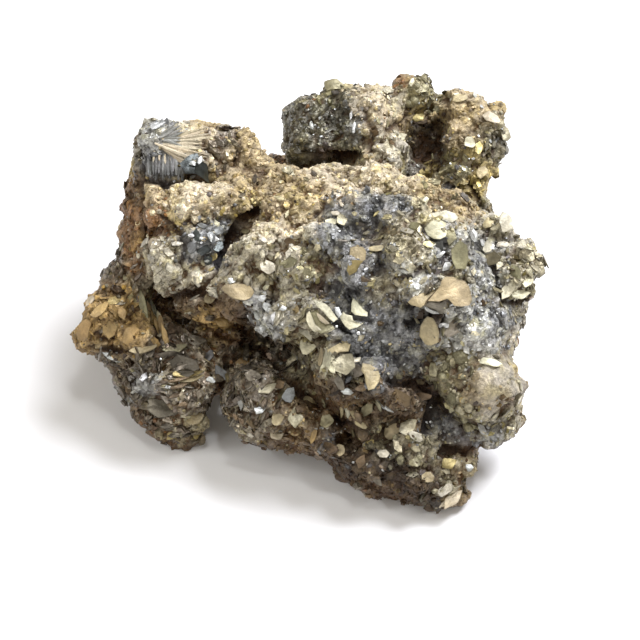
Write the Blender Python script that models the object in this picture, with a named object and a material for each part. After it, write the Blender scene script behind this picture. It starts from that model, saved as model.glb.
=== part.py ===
"""A pyrite specimen: one broken-off cluster of knobbly nodules, crusted with platy crystals.

It lies on its rough underside. Run it with: blender --background --python part.py
Lengths in the tables are millimetres, in the frame of the cluster's broad show face: x runs across the face,
y up it, and z out of it. The cluster leans back onto its underside, so FACE_LEAN turns that frame into the
row's frame (metres, +Z up, resting on z = 0, with the origin under the middle of its box).
"""

import math
import random

import bmesh
import bpy
from mathutils import Euler, Matrix, Vector
from mathutils.bvhtree import BVHTree

MM = 0.001
NODE = "pyrite_specimen"
FACE_LEAN = math.radians(42.0)          # how far the show face leans back from upright
REST_LEVEL = -20.2                      # height of the resting surface under the face frame's origin
SEED = 29

FUSE_GRAIN = 0.55                       # voxel size that melts the lumps into one body
KNURL_SIZE, KNURL_DEPTH = 4.2, 1.9      # nodules a few millimetres across, all over
GRIT_SIZE, GRIT_DEPTH = 1.8, 0.7        # roughness between them
BODY_TRIANGLES = 5300                   # kept for the fused body, before the plates join it
BUD_SKIN = 28.0                         # a nodule's mean box face, in mm2, that carries one more bud
BUD_SUNK = 0.93                         # how far out from the nodule's middle a bud sits, over its radius
BUD_SIZE = (0.9, 1.5)                   # radii of the buds
BUD_GROWTH = 0.08                       # what each mm of the nodule's least radius adds to the larger one
LOOSE_PLATES = 84                       # plates strewn over the whole surface
SHOW_SHARE = 2.0                        # how much thicker they lie on the show face than on the back
PLATE_SIZE = (1.5, 3.0)                 # radii of the strewn plates
PLATE_TILT = (5.0, 38.0)                # how far they stand off the surface, in degrees
PLATE_SHARE = 0.17                      # a plate's thickness over the sum of its radii
PLATE_TOP = 0.84                        # a plate's outer face against its inner one
RAY_HEIGHT = 60.0                       # above the show face, where the search for a plate's spot starts
PLATE_SUNK = 0.62                       # the share of a plate's thickness that lies below its mid-plane

# Each lump: centre (x, y, z), radii (x, y, z), turn about z in degrees.
CORE = [
    ((12.0, 4.5, -1.0), (18.4, 15.0, 12.4), -20),
    ((-7.2, 8.8, -1.5), (12.0, 10.5, 9.6), 0),
    ((7.5, -8.5, -0.5), (13.4, 8.6, 9.8), -30),
    ((23.5, 3.2, -2.5), (9.8, 12.0, 11.6), 0),
    ((2.0, 2.0, -15.0), (26.0, 18.0, 12.0), 0),
]
TOP_RIDGE = [
    ((-5.8, 21.0, -2.0), (4.8, 3.6, 5.0), 0),
    ((1.6, 22.0, -2.4), (4.6, 3.0, 5.0), 0),
    ((8.8, 21.6, -2.0), (5.4, 3.4, 6.0), 0),
    ((15.6, 19.6, -1.0), (5.4, 3.6, 6.0), -15),
    ((22.0, 17.0, -1.0), (4.8, 3.8, 5.5), -40),
    ((-3.6, 18.0, 1.4), (8.0, 4.8, 6.0), 10),
    ((5.6, 17.6, 5.0), (5.6, 3.6, 5.4), 5),
    ((13.6, 15.6, 6.8), (5.0, 3.6, 4.6), -15),
]
SHOW_FACE = [
    ((20.0, 12.6, 5.6), (4.8, 4.2, 4.6), 0),
    ((13.6, 10.0, 9.6), (4.8, 4.0, 4.4), 0),
    ((22.6, 6.6, 6.6), (4.4, 5.2, 4.4), 0),
    ((17.2, 5.0, 9.8), (3.6, 3.2, 3.4), 0),
    ((19.6, 2.2, 9.8), (4.6, 3.2, 3.6), 12),
    ((17.0, -1.8, 9.4), (3.4, 3.0, 3.2), 0),
    ((24.2, -2.2, 4.8), (4.6, 4.2, 5.0), 0),
    ((5.6, 9.4, 9.4), (2.8, 3.4, 3.8), 0),
    ((0.4, 12.4, 7.6), (4.4, 3.4, 4.2), 0),
    ((-3.4, 7.6, 7.6), (4.2, 3.6, 4.4), 0),
    ((0.6, 1.0, 9.2), (3.0, 3.4, 3.4), 0),
    ((-3.6, 1.4, 7.2), (4.4, 3.4, 4.0), 20),
    ((4.8, -2.6, 9.8), (3.2, 3.0, 3.2), 0),
    ((2.4, -7.2, 8.4), (3.6, 3.6, 4.0), 0),
    ((8.6, -9.0, 8.8), (3.0, 3.2, 3.4), 0),
    ((12.6, -12.2, 7.4), (3.6, 3.0, 3.6), -30),
]
RIGHT_KNOBS = [
    ((28.4, 14.2, 0.5), (2.7, 2.7, 3.0), 0),
    ((31.2, 9.4, 1.0), (3.9, 3.8, 4.0), 0),
    ((31.0, 5.4, 2.0), (4.0, 3.5, 4.0), 0),
    ((29.4, -0.6, 1.0), (3.0, 3.4, 3.6), 0),
    ((28.8, -4.6, 1.0), (2.5, 2.6, 3.2), 0),
]
LEFT_SHELF = [
    ((-12.0, 5.8, 2.0), (7.2, 5.4, 5.6), 15),
    ((-18.0, 3.4, -1.0), (6.6, 4.0, 5.0), -10),
    ((-8.8, 11.6, 3.4), (6.6, 4.8, 5.2), 15),
    ((-11.2, 4.0, 5.4), (3.6, 2.6, 3.2), 0),
    ((-6.0, -0.6, 4.2), (5.0, 3.0, 4.4), -25),
    ((-10.4, 14.8, 2.4), (3.2, 3.0, 3.4), 0),
]
LEFT_BOULDER = [
    ((-19.6, 12.4, 1.6), (5.2, 4.2, 4.4), 0),
    ((-23.0, 9.2, 0.6), (6.0, 5.4, 5.6), 0),
    ((-19.2, 18.2, 0.6), (7.0, 4.8, 5.4), 8),
    ((-25.0, 17.8, 0.4), (3.0, 3.4, 4.0), 0),
    ((-13.6, 19.8, -1.4), (4.2, 4.0, 4.6), 0),
    ((-29.0, 15.4, -8.0), (3.2, 12.0, 7.0), 0),
    ((-30.4, 17.6, -8.0), (2.0, 2.4, 4.0), 0),
    ((-29.6, 24.8, -8.0), (1.8, 3.4, 4.0), 0),
    ((-12.6, 28.0, -6.0), (3.0, 2.8, 3.6), 0),
    ((-10.2, 24.8, -5.0), (3.0, 3.2, 4.0), 0),
]
RIGHT_ARM = [
    ((1.8, 37.6, -12.0), (2.3, 2.2, 2.6), 0),
    ((8.0, 32.6, -12.5), (7.0, 6.2, 7.0), 0),
    ((10.2, 27.0, -10.5), (5.0, 5.0, 6.0), 0),
    ((15.4, 37.0, -12.0), (3.7, 3.6, 4.2), 0),
    ((22.6, 35.6, -13.5), (3.2, 3.2, 3.8), 0),
    ((26.6, 32.2, -14.0), (4.0, 4.0, 4.8), 0),
    ((28.4, 28.6, -14.0), (2.6, 2.8, 3.4), 0),
    ((24.0, 29.4, -13.0), (4.0, 4.6, 4.8), 0),
    ((25.4, 24.8, -12.5), (3.0, 2.8, 3.6), 0),
    ((22.4, 23.4, -13.0), (3.4, 3.4, 4.4), 0),
    ((25.8, 21.0, -11.0), (1.9, 2.4, 3.0), 0),
    ((27.0, 18.0, -9.0), (1.8, 2.4, 3.4), 0),
    ((16.0, 29.0, -21.0), (10.0, 7.4, 5.0), 0),
    ((1.6, 26.6, -16.0), (6.6, 4.4, 4.6), 0),
]
RIGHT_FOOT = [
    ((25.2, -10.4, 3.5), (6.4, 6.4, 6.2), 0),
    ((20.4, -8.8, 4.6), (3.8, 4.2, 4.4), 0),
    ((27.2, -16.6, 0.0), (4.8, 3.9, 5.6), 20),
    ((29.4, -12.6, 1.0), (3.2, 3.8, 4.4), 0),
    ((21.0, -17.4, -1.5), (6.0, 4.8, 5.6), 0),
]
LOWER_RIDGE = [
    ((-7.8, -13.6, -1.5), (8.6, 7.0, 7.4), -25),
    ((0.8, -17.0, -1.5), (8.4, 5.6, 7.0), -20),
    ((9.0, -22.2, -0.5), (9.2, 5.8, 6.8), -20),
    ((16.4, -25.0, 0.0), (6.4, 5.2, 6.0), -20),
    ((20.8, -27.8, 0.6), (3.0, 2.6, 3.0), 0),
    ((23.0, -22.6, 1.0), (2.4, 2.4, 3.0), 0),
    ((14.6, -19.0, 2.6), (4.6, 4.4, 4.8), 0),
    ((6.6, -17.2, 3.6), (3.4, 3.0, 3.4), -20),
    ((-10.6, -10.6, 4.0), (3.6, 3.0, 3.2), 0),
    ((-4.6, -14.0, 4.6), (3.4, 2.8, 3.0), -20),
    ((-9.4, -15.6, 2.6), (3.0, 2.6, 3.0), 0),
    ((1.0, -19.6, 3.6), (3.2, 2.6, 3.0), -20),
    ((8.6, -22.8, 4.6), (3.4, 2.8, 3.0), -20),
    ((15.2, -25.6, 4.4), (3.0, 2.4, 2.8), -20),
]
LEFT_FOOT = [
    ((-37.0, -2.4, -5.5), (3.6, 3.4, 3.8), 0),
    ((-33.4, 1.2, -5.5), (4.8, 4.6, 5.0), 0),
    ((-31.8, 5.2, -6.5), (4.2, 4.4, 5.0), 0),
    ((-30.2, 9.4, -8.0), (3.4, 4.0, 5.0), 0),
    ((-33.6, -4.8, -6.0), (3.6, 2.8, 4.0), -20),
    ((-27.0, -3.8, -4.0), (6.0, 4.8, 5.6), -15),
    ((-28.2, -10.4, -6.5), (5.0, 4.4, 5.0), -30),
    ((-22.2, -8.0, -4.0), (6.4, 6.2, 5.6), 0),
    ((-22.8, -14.0, -6.5), (5.6, 5.2, 5.0), 0),
    ((-23.2, -18.6, -8.0), (4.2, 2.8, 3.4), -15),
    ((-27.0, -14.8, -8.0), (3.8, 3.6, 4.0), -30),
    ((-21.0, -16.6, -7.5), (2.0, 2.4, 2.6), 0),
    ((-16.8, -3.8, -8.0), (6.2, 5.4, 6.0), 0),
    ((-31.6, -7.8, -7.5), (2.6, 2.4, 3.0), 0),
    ((-24.6, -9.6, -0.8), (3.4, 2.6, 2.8), -30),
    ((-29.6, -5.4, -0.2), (3.0, 2.4, 2.6), -30),
    ((-20.0, -12.2, -1.4), (2.8, 2.4, 2.6), 0),
]
HIDDEN_BACK = [
    ((-18.0, 20.0, -16.0), (9.0, 8.0, 7.0), 0),
    ((14.0, 23.0, -19.0), (12.0, 8.0, 6.0), 0),
    ((0.0, 14.0, -23.0), (17.0, 12.0, 8.0), 0),
    ((-21.0, 3.0, -15.0), (8.0, 8.0, 6.5), 0),
    ((20.0, 3.0, -17.0), (9.5, 10.0, 8.0), 0),
    ((4.0, -11.0, -11.0), (18.0, 8.0, 7.5), 0),
    ((-25.0, 24.0, -18.0), (4.6, 4.2, 4.4), 0),
    ((-16.0, 27.0, -17.0), (5.2, 4.4, 4.6), 0),
    ((-19.0, 17.0, -23.0), (5.6, 5.0, 4.6), 0),
    ((-26.0, 13.0, -18.5), (4.6, 4.8, 4.4), 0),
    ((-7.0, 23.0, -24.0), (5.4, 5.2, 5.0), 0),
    ((-10.0, 14.0, -29.5), (5.2, 4.8, 4.4), 0),
    ((2.0, 20.0, -29.0), (5.8, 4.8, 4.8), 0),
    ((6.0, 9.0, -31.0), (6.0, 5.0, 4.2), 0),
    ((10.0, 28.0, -24.0), (4.8, 4.6, 4.6), 0),
    ((14.0, 17.0, -26.0), (5.4, 5.2, 5.0), 0),
    ((21.0, 26.0, -22.5), (5.4, 4.6, 4.6), 0),
    ((25.0, 17.0, -19.0), (4.4, 5.0, 5.0), 0),
    ((22.0, 8.0, -24.5), (5.2, 4.8, 4.4), 0),
    ((29.0, 7.0, -15.0), (4.6, 4.6, 5.0), 0),
    ((28.6, -2.0, -14.0), (4.0, 4.6, 5.0), 0),
    ((-27.0, 4.0, -18.0), (4.4, 4.6, 4.4), 0),
]
LUMPS = [
    *CORE, *TOP_RIDGE, *SHOW_FACE, *RIGHT_KNOBS, *LEFT_SHELF, *LEFT_BOULDER, *RIGHT_ARM,
    *RIGHT_FOOT, *LOWER_RIDGE, *LEFT_FOOT, *HIDDEN_BACK,
]

# Each block: centre, full size, turns about x, y and z in degrees, edge rounding.
BLOCKS = [
    ((-21.4, 23.2, -7.0), (17.6, 17.6, 14.0), (10, 12, -3), 3.0),
    ((-22.4, 28.6, -4.6), (14.0, 6.0, 10.0), (14, 8, -4), 1.6),
    ((-0.6, 31.2, -13.5), (10.2, 11.4, 12.0), (0, 10, 4), 2.4),
]

# Each hollow, cut out of the fused lumps: centre, radii, turn about z in degrees.
HOLLOWS = [
    ((16.9, 28.2, -8.5), (3.1, 4.2, 8.6), 0),
    ((4.3, -19.2, 6.0), (1.8, 1.6, 5.0), 0),
    ((-3.0, 12.0, 11.0), (1.9, 1.6, 3.4), 0),
    ((-17.6, 23.6, 2.6), (6.4, 2.4, 3.4), 0),
    ((14.6, -0.6, 11.2), (1.8, 1.4, 3.0), 0),
    ((-13.2, 13.4, 6.0), (1.3, 5.8, 5.4), -36),
    ((16.4, -10.8, 9.0), (1.9, 2.6, 5.0), 20),
    ((-14.6, -2.2, 2.0), (4.4, 2.2, 5.0), -20),
]

# Each large plate: place on the show face (x, y), radii (along, across), turn in the face's plane,
# lean up (+) or down (-), lean right (+) or left (-), in degrees.
PLATES = [
    ((20.6, 3.0), (3.2, 2.8), 20, 25, 5),
    ((17.0, 2.6), (3.2, 2.0), 25, 30, -10),
    ((16.6, -1.0), (2.1, 2.2), 0, -5, -5),
    ((18.7, 14.4), (1.9, 1.5), 0, 30, 0),
    ((22.2, 8.8), (1.7, 3.0), -20, 15, 30),
    ((5.2, 9.8), (1.9, 1.8), 30, 20, -10),
    ((5.4, 7.6), (2.0, 1.7), -20, 30, 0),
    ((5.6, 2.6), (2.2, 1.4), -40, 35, 10),
    ((3.8, 0.8), (2.4, 1.5), -35, 10, 20),
    ((-0.6, 2.4), (3.0, 1.6), -35, 40, 25),
    ((-1.6, 0.0), (2.2, 2.6), 10, 10, -35),
    ((-0.6, -2.6), (2.6, 2.0), 20, -10, -15),
    ((2.4, -3.6), (2.4, 1.3), 25, 45, 0),
    ((8.4, -8.6), (1.9, 2.1), 0, -10, 10),
    ((12.6, -11.8), (2.4, 1.8), -35, 0, 15),
    ((27.2, -9.2), (3.6, 3.8), 0, 10, 15),
    ((10.8, -18.6), (2.0, 2.2), 0, 5, 20),
    ((-28.0, -3.4), (2.2, 2.0), 0, 0, 10),
    ((-31.2, -2.2), (2.2, 2.4), 20, 15, -10),
    ((-7.4, 8.4), (2.4, 2.6), 10, 5, -20),
    ((-10.8, 4.2), (2.9, 1.8), -10, 15, 0),
    ((-20.4, 25.6), (4.6, 2.2), -10, 35, 0),
    ((-3.6, 9.6), (1.8, 2.6), 20, 10, 35),
    ((29.6, 6.4), (2.6, 2.2), 0, 15, 20),
    ((8.2, 31.6), (3.2, 2.2), 10, 20, -5),
    ((-1.0, -13.8), (2.8, 2.2), -30, 10, 15),
    ((20.6, -27.2), (1.9, 1.5), 20, 20, 10),
]


def add_lump(bm, centre, radii, turn=0.0, detail=3):
    """One rounded nodule."""
    place = (
        Matrix.Translation(centre)
        @ Matrix.Rotation(math.radians(turn), 4, "Z")
        @ Matrix.Diagonal((*radii, 1.0))
    )
    bmesh.ops.create_icosphere(bm, subdivisions=detail, radius=1.0, matrix=place)


def add_block(bm, centre, size, turns, rounding):
    """One blocky, sheared lump with rounded edges."""
    turned = Euler([math.radians(angle) for angle in turns]).to_matrix().to_4x4()
    block = bmesh.new()
    bmesh.ops.create_cube(block, size=1.0, matrix=Matrix.Diagonal((*size, 1.0)))
    bmesh.ops.bevel(
        block, geom=block.edges[:], offset=rounding, segments=3, profile=0.5, affect="EDGES", material=-1
    )
    bmesh.ops.transform(block, matrix=Matrix.Translation(centre) @ turned, verts=block.verts)
    join_into(bm, block)


def join_into(bm, extra):
    """Copies the bmesh extra into bm, and frees it."""
    mesh = bpy.data.meshes.new("extra")
    extra.to_mesh(mesh)
    extra.free()
    bm.from_mesh(mesh)
    bpy.data.meshes.remove(mesh)


def add_buds(bm, rng):
    """Small nodules budding at random from the large ones, so that every side is knobbly."""
    for centre, radii, turn in LUMPS:
        spin = Matrix.Rotation(math.radians(turn), 3, "Z")
        skin = radii[0] * radii[1] + radii[1] * radii[2] + radii[0] * radii[2]
        for _ in range(int(3 + skin / BUD_SKIN)):
            way = Vector([rng.gauss(0.0, 1.0) for _ in range(3)]).normalized()
            spot = Vector(centre) + spin @ Vector([w * r * BUD_SUNK for w, r in zip(way, radii)])
            size = rng.uniform(BUD_SIZE[0], BUD_SIZE[1] + BUD_GROWTH * min(radii))
            shape = [size * rng.uniform(0.8, 1.25) for _ in range(3)]
            add_lump(bm, spot, shape, detail=2)


def object_of(name, bm):
    mesh = bpy.data.meshes.new(name)
    bm.to_mesh(mesh)
    bm.free()
    obj = bpy.data.objects.new(name, mesh)
    bpy.context.scene.collection.objects.link(obj)
    return obj


def cutter_of(name, bm):
    obj = object_of(name, bm)
    obj.hide_render = True
    obj.display_type = "WIRE"
    return obj


def noise_texture(name, kind, size):
    texture = bpy.data.textures.new(name, kind)
    texture.noise_scale = size
    return texture


def add_relief(obj, name, kind, size, depth, middle):
    """Raises the surface by a solid noise of this grain, measured from its middle value."""
    relief = obj.modifiers.new(name, "DISPLACE")
    relief.texture = noise_texture(name, kind, size)
    relief.texture_coords = "LOCAL"
    relief.strength = depth
    relief.mid_level = middle


def boolean(obj, name, operation, other, overlapping=False):
    modifier = obj.modifiers.new(name, "BOOLEAN")
    modifier.operation = operation
    modifier.solver = "EXACT"
    modifier.object = other
    modifier.use_self = overlapping


def settle(obj):
    """Replaces the object's mesh by what its modifiers make of it."""
    graph = bpy.context.evaluated_depsgraph_get()
    mesh = bpy.data.meshes.new_from_object(obj.evaluated_get(graph))
    obj.modifiers.clear()
    obj.data = mesh


def keep_largest_shell(obj):
    """Drops the stray crumbs and sealed bubbles that fusing can leave."""
    bm = bmesh.new()
    bm.from_mesh(obj.data)
    unseen = set(bm.verts)
    shells = []
    while unseen:
        shell, front = set(), [next(iter(unseen))]
        unseen.discard(front[0])
        while front:
            vert = front.pop()
            shell.add(vert)
            near = [edge.other_vert(vert) for edge in vert.link_edges]
            fresh = [other for other in near if other in unseen]
            unseen.difference_update(fresh)
            front.extend(fresh)
        shells.append(shell)
    largest = max(shells, key=len)
    bmesh.ops.delete(bm, geom=[vert for vert in bm.verts if vert not in largest], context="VERTS")
    bm.to_mesh(obj.data)
    bm.free()


def fused_body(rng):
    """All the nodules and blocks melted into one rough body, with its hollows cut, in the face frame."""
    bm = bmesh.new()
    for block in BLOCKS:
        add_block(bm, *block)
    for lump in LUMPS:
        add_lump(bm, *lump)
    add_buds(bm, rng)
    body = object_of(NODE, bm)
    hollows = bmesh.new()
    for hollow in HOLLOWS:
        add_lump(hollows, *hollow)
    cutter = cutter_of("hollows", hollows)
    fuse = body.modifiers.new("fuse", "REMESH")
    fuse.mode = "VOXEL"
    fuse.voxel_size = FUSE_GRAIN
    boolean(body, "cut_hollows", "DIFFERENCE", cutter, overlapping=True)
    add_relief(body, "knurl", "VORONOI", KNURL_SIZE, -KNURL_DEPTH, 0.35)
    add_relief(body, "grit", "CLOUDS", GRIT_SIZE, GRIT_DEPTH, 0.5)
    again = body.modifiers.new("fuse_again", "REMESH")
    again.mode = "VOXEL"
    again.voxel_size = FUSE_GRAIN
    settle(body)
    keep_largest_shell(body)
    thin = body.modifiers.new("thin", "DECIMATE")
    thin.ratio = BODY_TRIANGLES / (2.0 * len(body.data.polygons))
    settle(body)
    return body


def add_plate(bm, place, along, across, rng):
    """One platy crystal: an uneven polygon with a smaller top face, centred on its own mid-plane."""
    sides = rng.choice((5, 6, 7))
    thick = PLATE_SHARE * (along + across)
    plate = bmesh.new()
    bmesh.ops.create_circle(plate, cap_ends=True, segments=sides, radius=1.0)
    for vert in plate.verts:
        reach = rng.uniform(0.82, 1.12)
        vert.co.x *= along * reach
        vert.co.y *= across * reach
    base = plate.faces[:]
    top = bmesh.ops.extrude_face_region(plate, geom=base)
    raised = [item for item in top["geom"] if isinstance(item, bmesh.types.BMVert)]
    bmesh.ops.translate(plate, vec=(0.0, 0.0, thick), verts=raised)
    bmesh.ops.scale(plate, vec=(PLATE_TOP, PLATE_TOP, 1.0), verts=raised)
    bmesh.ops.translate(plate, vec=(0.0, 0.0, -PLATE_SUNK * thick), verts=plate.verts)
    bmesh.ops.recalc_face_normals(plate, faces=plate.faces)
    bmesh.ops.transform(plate, matrix=place, verts=plate.verts)
    join_into(bm, plate)


def plates_on(body, rng):
    """The large plates where they grow on the show face, and the strewn ones all over, as one tool object."""
    mesh = body.data
    corners = [vert.co for vert in mesh.vertices]
    tree = BVHTree.FromPolygons(corners, [face.vertices for face in mesh.polygons])
    bm = bmesh.new()
    for (x, y), (along, across), turn, lean_up, lean_right in PLATES:
        spot, _, _, _ = tree.ray_cast(Vector((x, y, RAY_HEIGHT)), Vector((0.0, 0.0, -1.0)))
        leaned = Euler((math.radians(-lean_up), math.radians(lean_right), 0.0)).to_matrix().to_4x4()
        spin = Matrix.Rotation(math.radians(turn), 4, "Z")
        add_plate(bm, Matrix.Translation(spot) @ leaned @ spin, along, across, rng)
    weights = [face.area * (SHOW_SHARE if face.normal.z > 0.0 else 1.0) for face in mesh.polygons]
    for face in rng.choices(mesh.polygons[:], weights, k=LOOSE_PLATES):
        outward = face.normal.to_track_quat("Z", "Y").to_matrix().to_4x4()
        tilt = Matrix.Rotation(math.radians(rng.uniform(*PLATE_TILT)), 4, "X")
        spin = Matrix.Rotation(rng.uniform(0.0, math.tau), 4, "Z")
        along = rng.uniform(*PLATE_SIZE)
        across = along * rng.uniform(0.65, 1.0)
        add_plate(bm, Matrix.Translation(face.center) @ outward @ spin @ tilt, along, across, rng)
    return cutter_of("plates", bm)


def rest_cut(size):
    """A box whose top is the surface that the specimen rests on."""
    bm = bmesh.new()
    bmesh.ops.create_cube(bm, size=size, matrix=Matrix.Translation((0.0, 0.0, REST_LEVEL - size / 2)))
    return cutter_of("rest_cut", bm)


def pyrite():
    """Tarnished brass-brown pyrite."""
    material = bpy.data.materials.new("pyrite")
    material.use_nodes = True
    shader = material.node_tree.nodes["Principled BSDF"]
    shader.inputs["Base Color"].default_value = (0.30, 0.25, 0.16, 1.0)
    shader.inputs["Metallic"].default_value = 0.85
    shader.inputs["Roughness"].default_value = 0.42
    return material


def main():
    for old in list(bpy.data.objects):
        bpy.data.objects.remove(old)
    rng = random.Random(SEED)
    body = fused_body(rng)
    boolean(body, "plates", "UNION", plates_on(body, rng), overlapping=True)
    settle(body)
    body.data.transform(Matrix.Rotation(FACE_LEAN, 4, "X"))
    boolean(body, "rest", "DIFFERENCE", rest_cut(200.0))
    settle(body)
    keep_largest_shell(body)
    corners = [vert.co for vert in body.data.vertices]
    low = Vector([min(co[axis] for co in corners) for axis in range(3)])
    high = Vector([max(co[axis] for co in corners) for axis in range(3)])
    middle = Vector(((low.x + high.x) / 2, (low.y + high.y) / 2, low.z))
    body.data.transform(Matrix.Scale(MM, 4) @ Matrix.Translation(-middle))
    body.data.materials.clear()
    body.data.materials.append(pyrite())
    print("face frame's origin in the row's frame, mm:", [round(-value, 3) for value in middle])


main()
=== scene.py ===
"""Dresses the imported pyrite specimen: a fine nodular crust over its solid, and the crystals on it."""

import itertools
import math
import random

import bmesh
import bpy
import numpy as np
from mathutils import Matrix, Vector
from mathutils.bvhtree import BVHTree


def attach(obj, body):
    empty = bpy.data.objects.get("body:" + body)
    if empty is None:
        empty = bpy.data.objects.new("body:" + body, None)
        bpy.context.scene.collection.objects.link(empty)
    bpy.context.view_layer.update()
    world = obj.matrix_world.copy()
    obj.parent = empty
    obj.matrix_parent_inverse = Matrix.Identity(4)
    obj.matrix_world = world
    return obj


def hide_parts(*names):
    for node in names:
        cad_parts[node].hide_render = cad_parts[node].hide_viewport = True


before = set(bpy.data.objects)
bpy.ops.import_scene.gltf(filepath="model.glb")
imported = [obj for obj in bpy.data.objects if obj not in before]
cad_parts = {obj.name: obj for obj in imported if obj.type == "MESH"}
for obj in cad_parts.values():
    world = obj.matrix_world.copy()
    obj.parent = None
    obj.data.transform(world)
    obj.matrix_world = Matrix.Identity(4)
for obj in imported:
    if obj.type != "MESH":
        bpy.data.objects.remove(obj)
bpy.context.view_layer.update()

# The show face: the specimen leans back on its underside, so its broad face looks up and to the front.
# All places below are millimetres on that face: x across it, y up it and z out of it. The camera looks
# square at it from far enough away that the cluster keeps its true outline.
MM = 0.001
FACE_LEAN = math.radians(42.0)
FACE_ORIGIN = Vector((2.532, -8.25, 20.2)) * MM
VIEW_DISTANCE = 426.7
LENS, SENSOR = 150.0, 36.0
to_row = Matrix.Translation(FACE_ORIGIN) @ Matrix.Rotation(FACE_LEAN, 4, "X") @ Matrix.Scale(MM, 4)
to_face = to_row.inverted()


def add_object(name, data):
    """Puts a new object that holds this data into the scene."""
    made = bpy.data.objects.new(name, data)
    bpy.context.scene.collection.objects.link(made)
    return made


camera = add_object("camera", bpy.data.cameras.new("camera"))
camera.data.lens = LENS
camera.data.sensor_width = SENSOR
camera.data.clip_start = 0.001
camera.location = to_row @ Vector((0.0, 0.0, VIEW_DISTANCE))
camera.rotation_euler = (FACE_LEAN, 0.0, 0.0)
bpy.context.scene.camera = camera

# The crust: one continuous skin of nodules and grain over the whole cluster, grown as one mass with it. It is
# made from a merged copy of the solid, melted to a fine even mesh, relaxed until the solid's facets are gone,
# and raised again by nodules, buds and grain where each finish has them.
CRUST_GRAIN = 0.52          # edge length of the fine mesh
RELAX_ROUNDS = 6            # how often each point moves to the middle of its neighbours
SWELL = 0.22                # what relaxing took off, put back


def settled(obj):
    """The mesh that the object's modifiers make."""
    graph = bpy.context.evaluated_depsgraph_get()
    return bpy.data.meshes.new_from_object(obj.evaluated_get(graph))


def read(items, field, width, kind=np.float32):
    """What Blender holds in this field of each item, a row of this width for each."""
    flat = np.empty(len(items) * width, kind)
    items.foreach_get(field, flat)
    return flat.reshape(-1, width)


def points_of(mesh):
    return read(mesh.vertices, "co", 3).astype(float)


def normals_of(mesh):
    return read(mesh.vertex_normals, "vector", 3).astype(float)


def put_points(mesh, points):
    mesh.vertices.foreach_set("co", points.astype(np.float32).ravel())
    mesh.update()


def relaxed(points, edges, rounds):
    """The points after each has moved, round by round, halfway to the middle of its neighbours."""
    count = len(points)
    near = np.bincount(edges.ravel(), minlength=count)[:, None]
    for _ in range(rounds):
        pull = np.empty_like(points)
        for axis in range(3):
            pull[:, axis] = np.bincount(edges[:, 0], points[edges[:, 1], axis], count)
            pull[:, axis] += np.bincount(edges[:, 1], points[edges[:, 0], axis], count)
        points = 0.5 * points + 0.5 * pull / near
    return points


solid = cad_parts["pyrite_specimen"]
melt = bmesh.new()
melt.from_mesh(solid.data)
melt.transform(to_face)
bmesh.ops.remove_doubles(melt, verts=melt.verts, dist=0.0005)
crust_mesh = bpy.data.meshes.new("crust")
melt.to_mesh(crust_mesh)
melt.free()
solid_mesh = crust_mesh.copy()
crust = add_object("crust", crust_mesh)
fuse = crust.modifiers.new("fuse", "REMESH")
fuse.mode = "VOXEL"
fuse.voxel_size = CRUST_GRAIN
crust.data = settled(crust)
crust.modifiers.clear()
edge_ends = read(crust.data.edges, "vertices", 2, np.int32)
skin = relaxed(points_of(crust.data), edge_ends, RELAX_ROUNDS)
put_points(crust.data, skin)

# The finishes: how each kind of crystal or weathering on the cluster looks. A colour is as the eye sees it
# (sRGB, 0 to 255), shine runs from dull mineral to bare metal, chips and grain are how angular and how rough
# the crust is there.
FINISHES = {
    #           colour            shine chips grain
    "silver": ((160, 160, 154), 0.52, 0.9, 0.5),
    "cream": ((194, 180, 150), 0.20, 0.9, 0.8),
    "tan": ((168, 149, 111), 0.22, 0.9, 0.8),
    "pale": ((178, 171, 148), 0.32, 1.0, 0.7),
    "brass": ((154, 146, 118), 0.54, 1.0, 0.6),
    "gold": ((164, 146, 92), 0.52, 1.0, 0.6),
    "olive": ((128, 122, 92), 0.52, 1.0, 0.7),
    "ochre": ((166, 136, 84), 0.32, 1.0, 0.7),
    "rust": ((122, 86, 50), 0.14, 0.8, 0.9),
    "brown": ((98, 81, 58), 0.54, 1.0, 0.8),
    "slate": ((114, 115, 114), 0.46, 1.0, 0.8),
    "steel": ((108, 101, 88), 0.74, 1.0, 0.6),
    "glitter": ((108, 106, 94), 0.70, 0.9, 0.5),
    "dark": ((46, 34, 22), 0.30, 0.8, 0.6),
    "pearl": ((146, 138, 120), 0.30, 0.0, 0.1),
    "ivory": ((192, 186, 154), 0.24, 0.5, 0.2),
    "buff": ((162, 146, 108), 0.28, 0.5, 0.2),
    "jet": ((56, 60, 58), 0.80, 0.5, 0.0),
    "mirror": ((194, 196, 192), 0.66, 0.5, 0.0),
}
NAMES = list(FINISHES)

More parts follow.
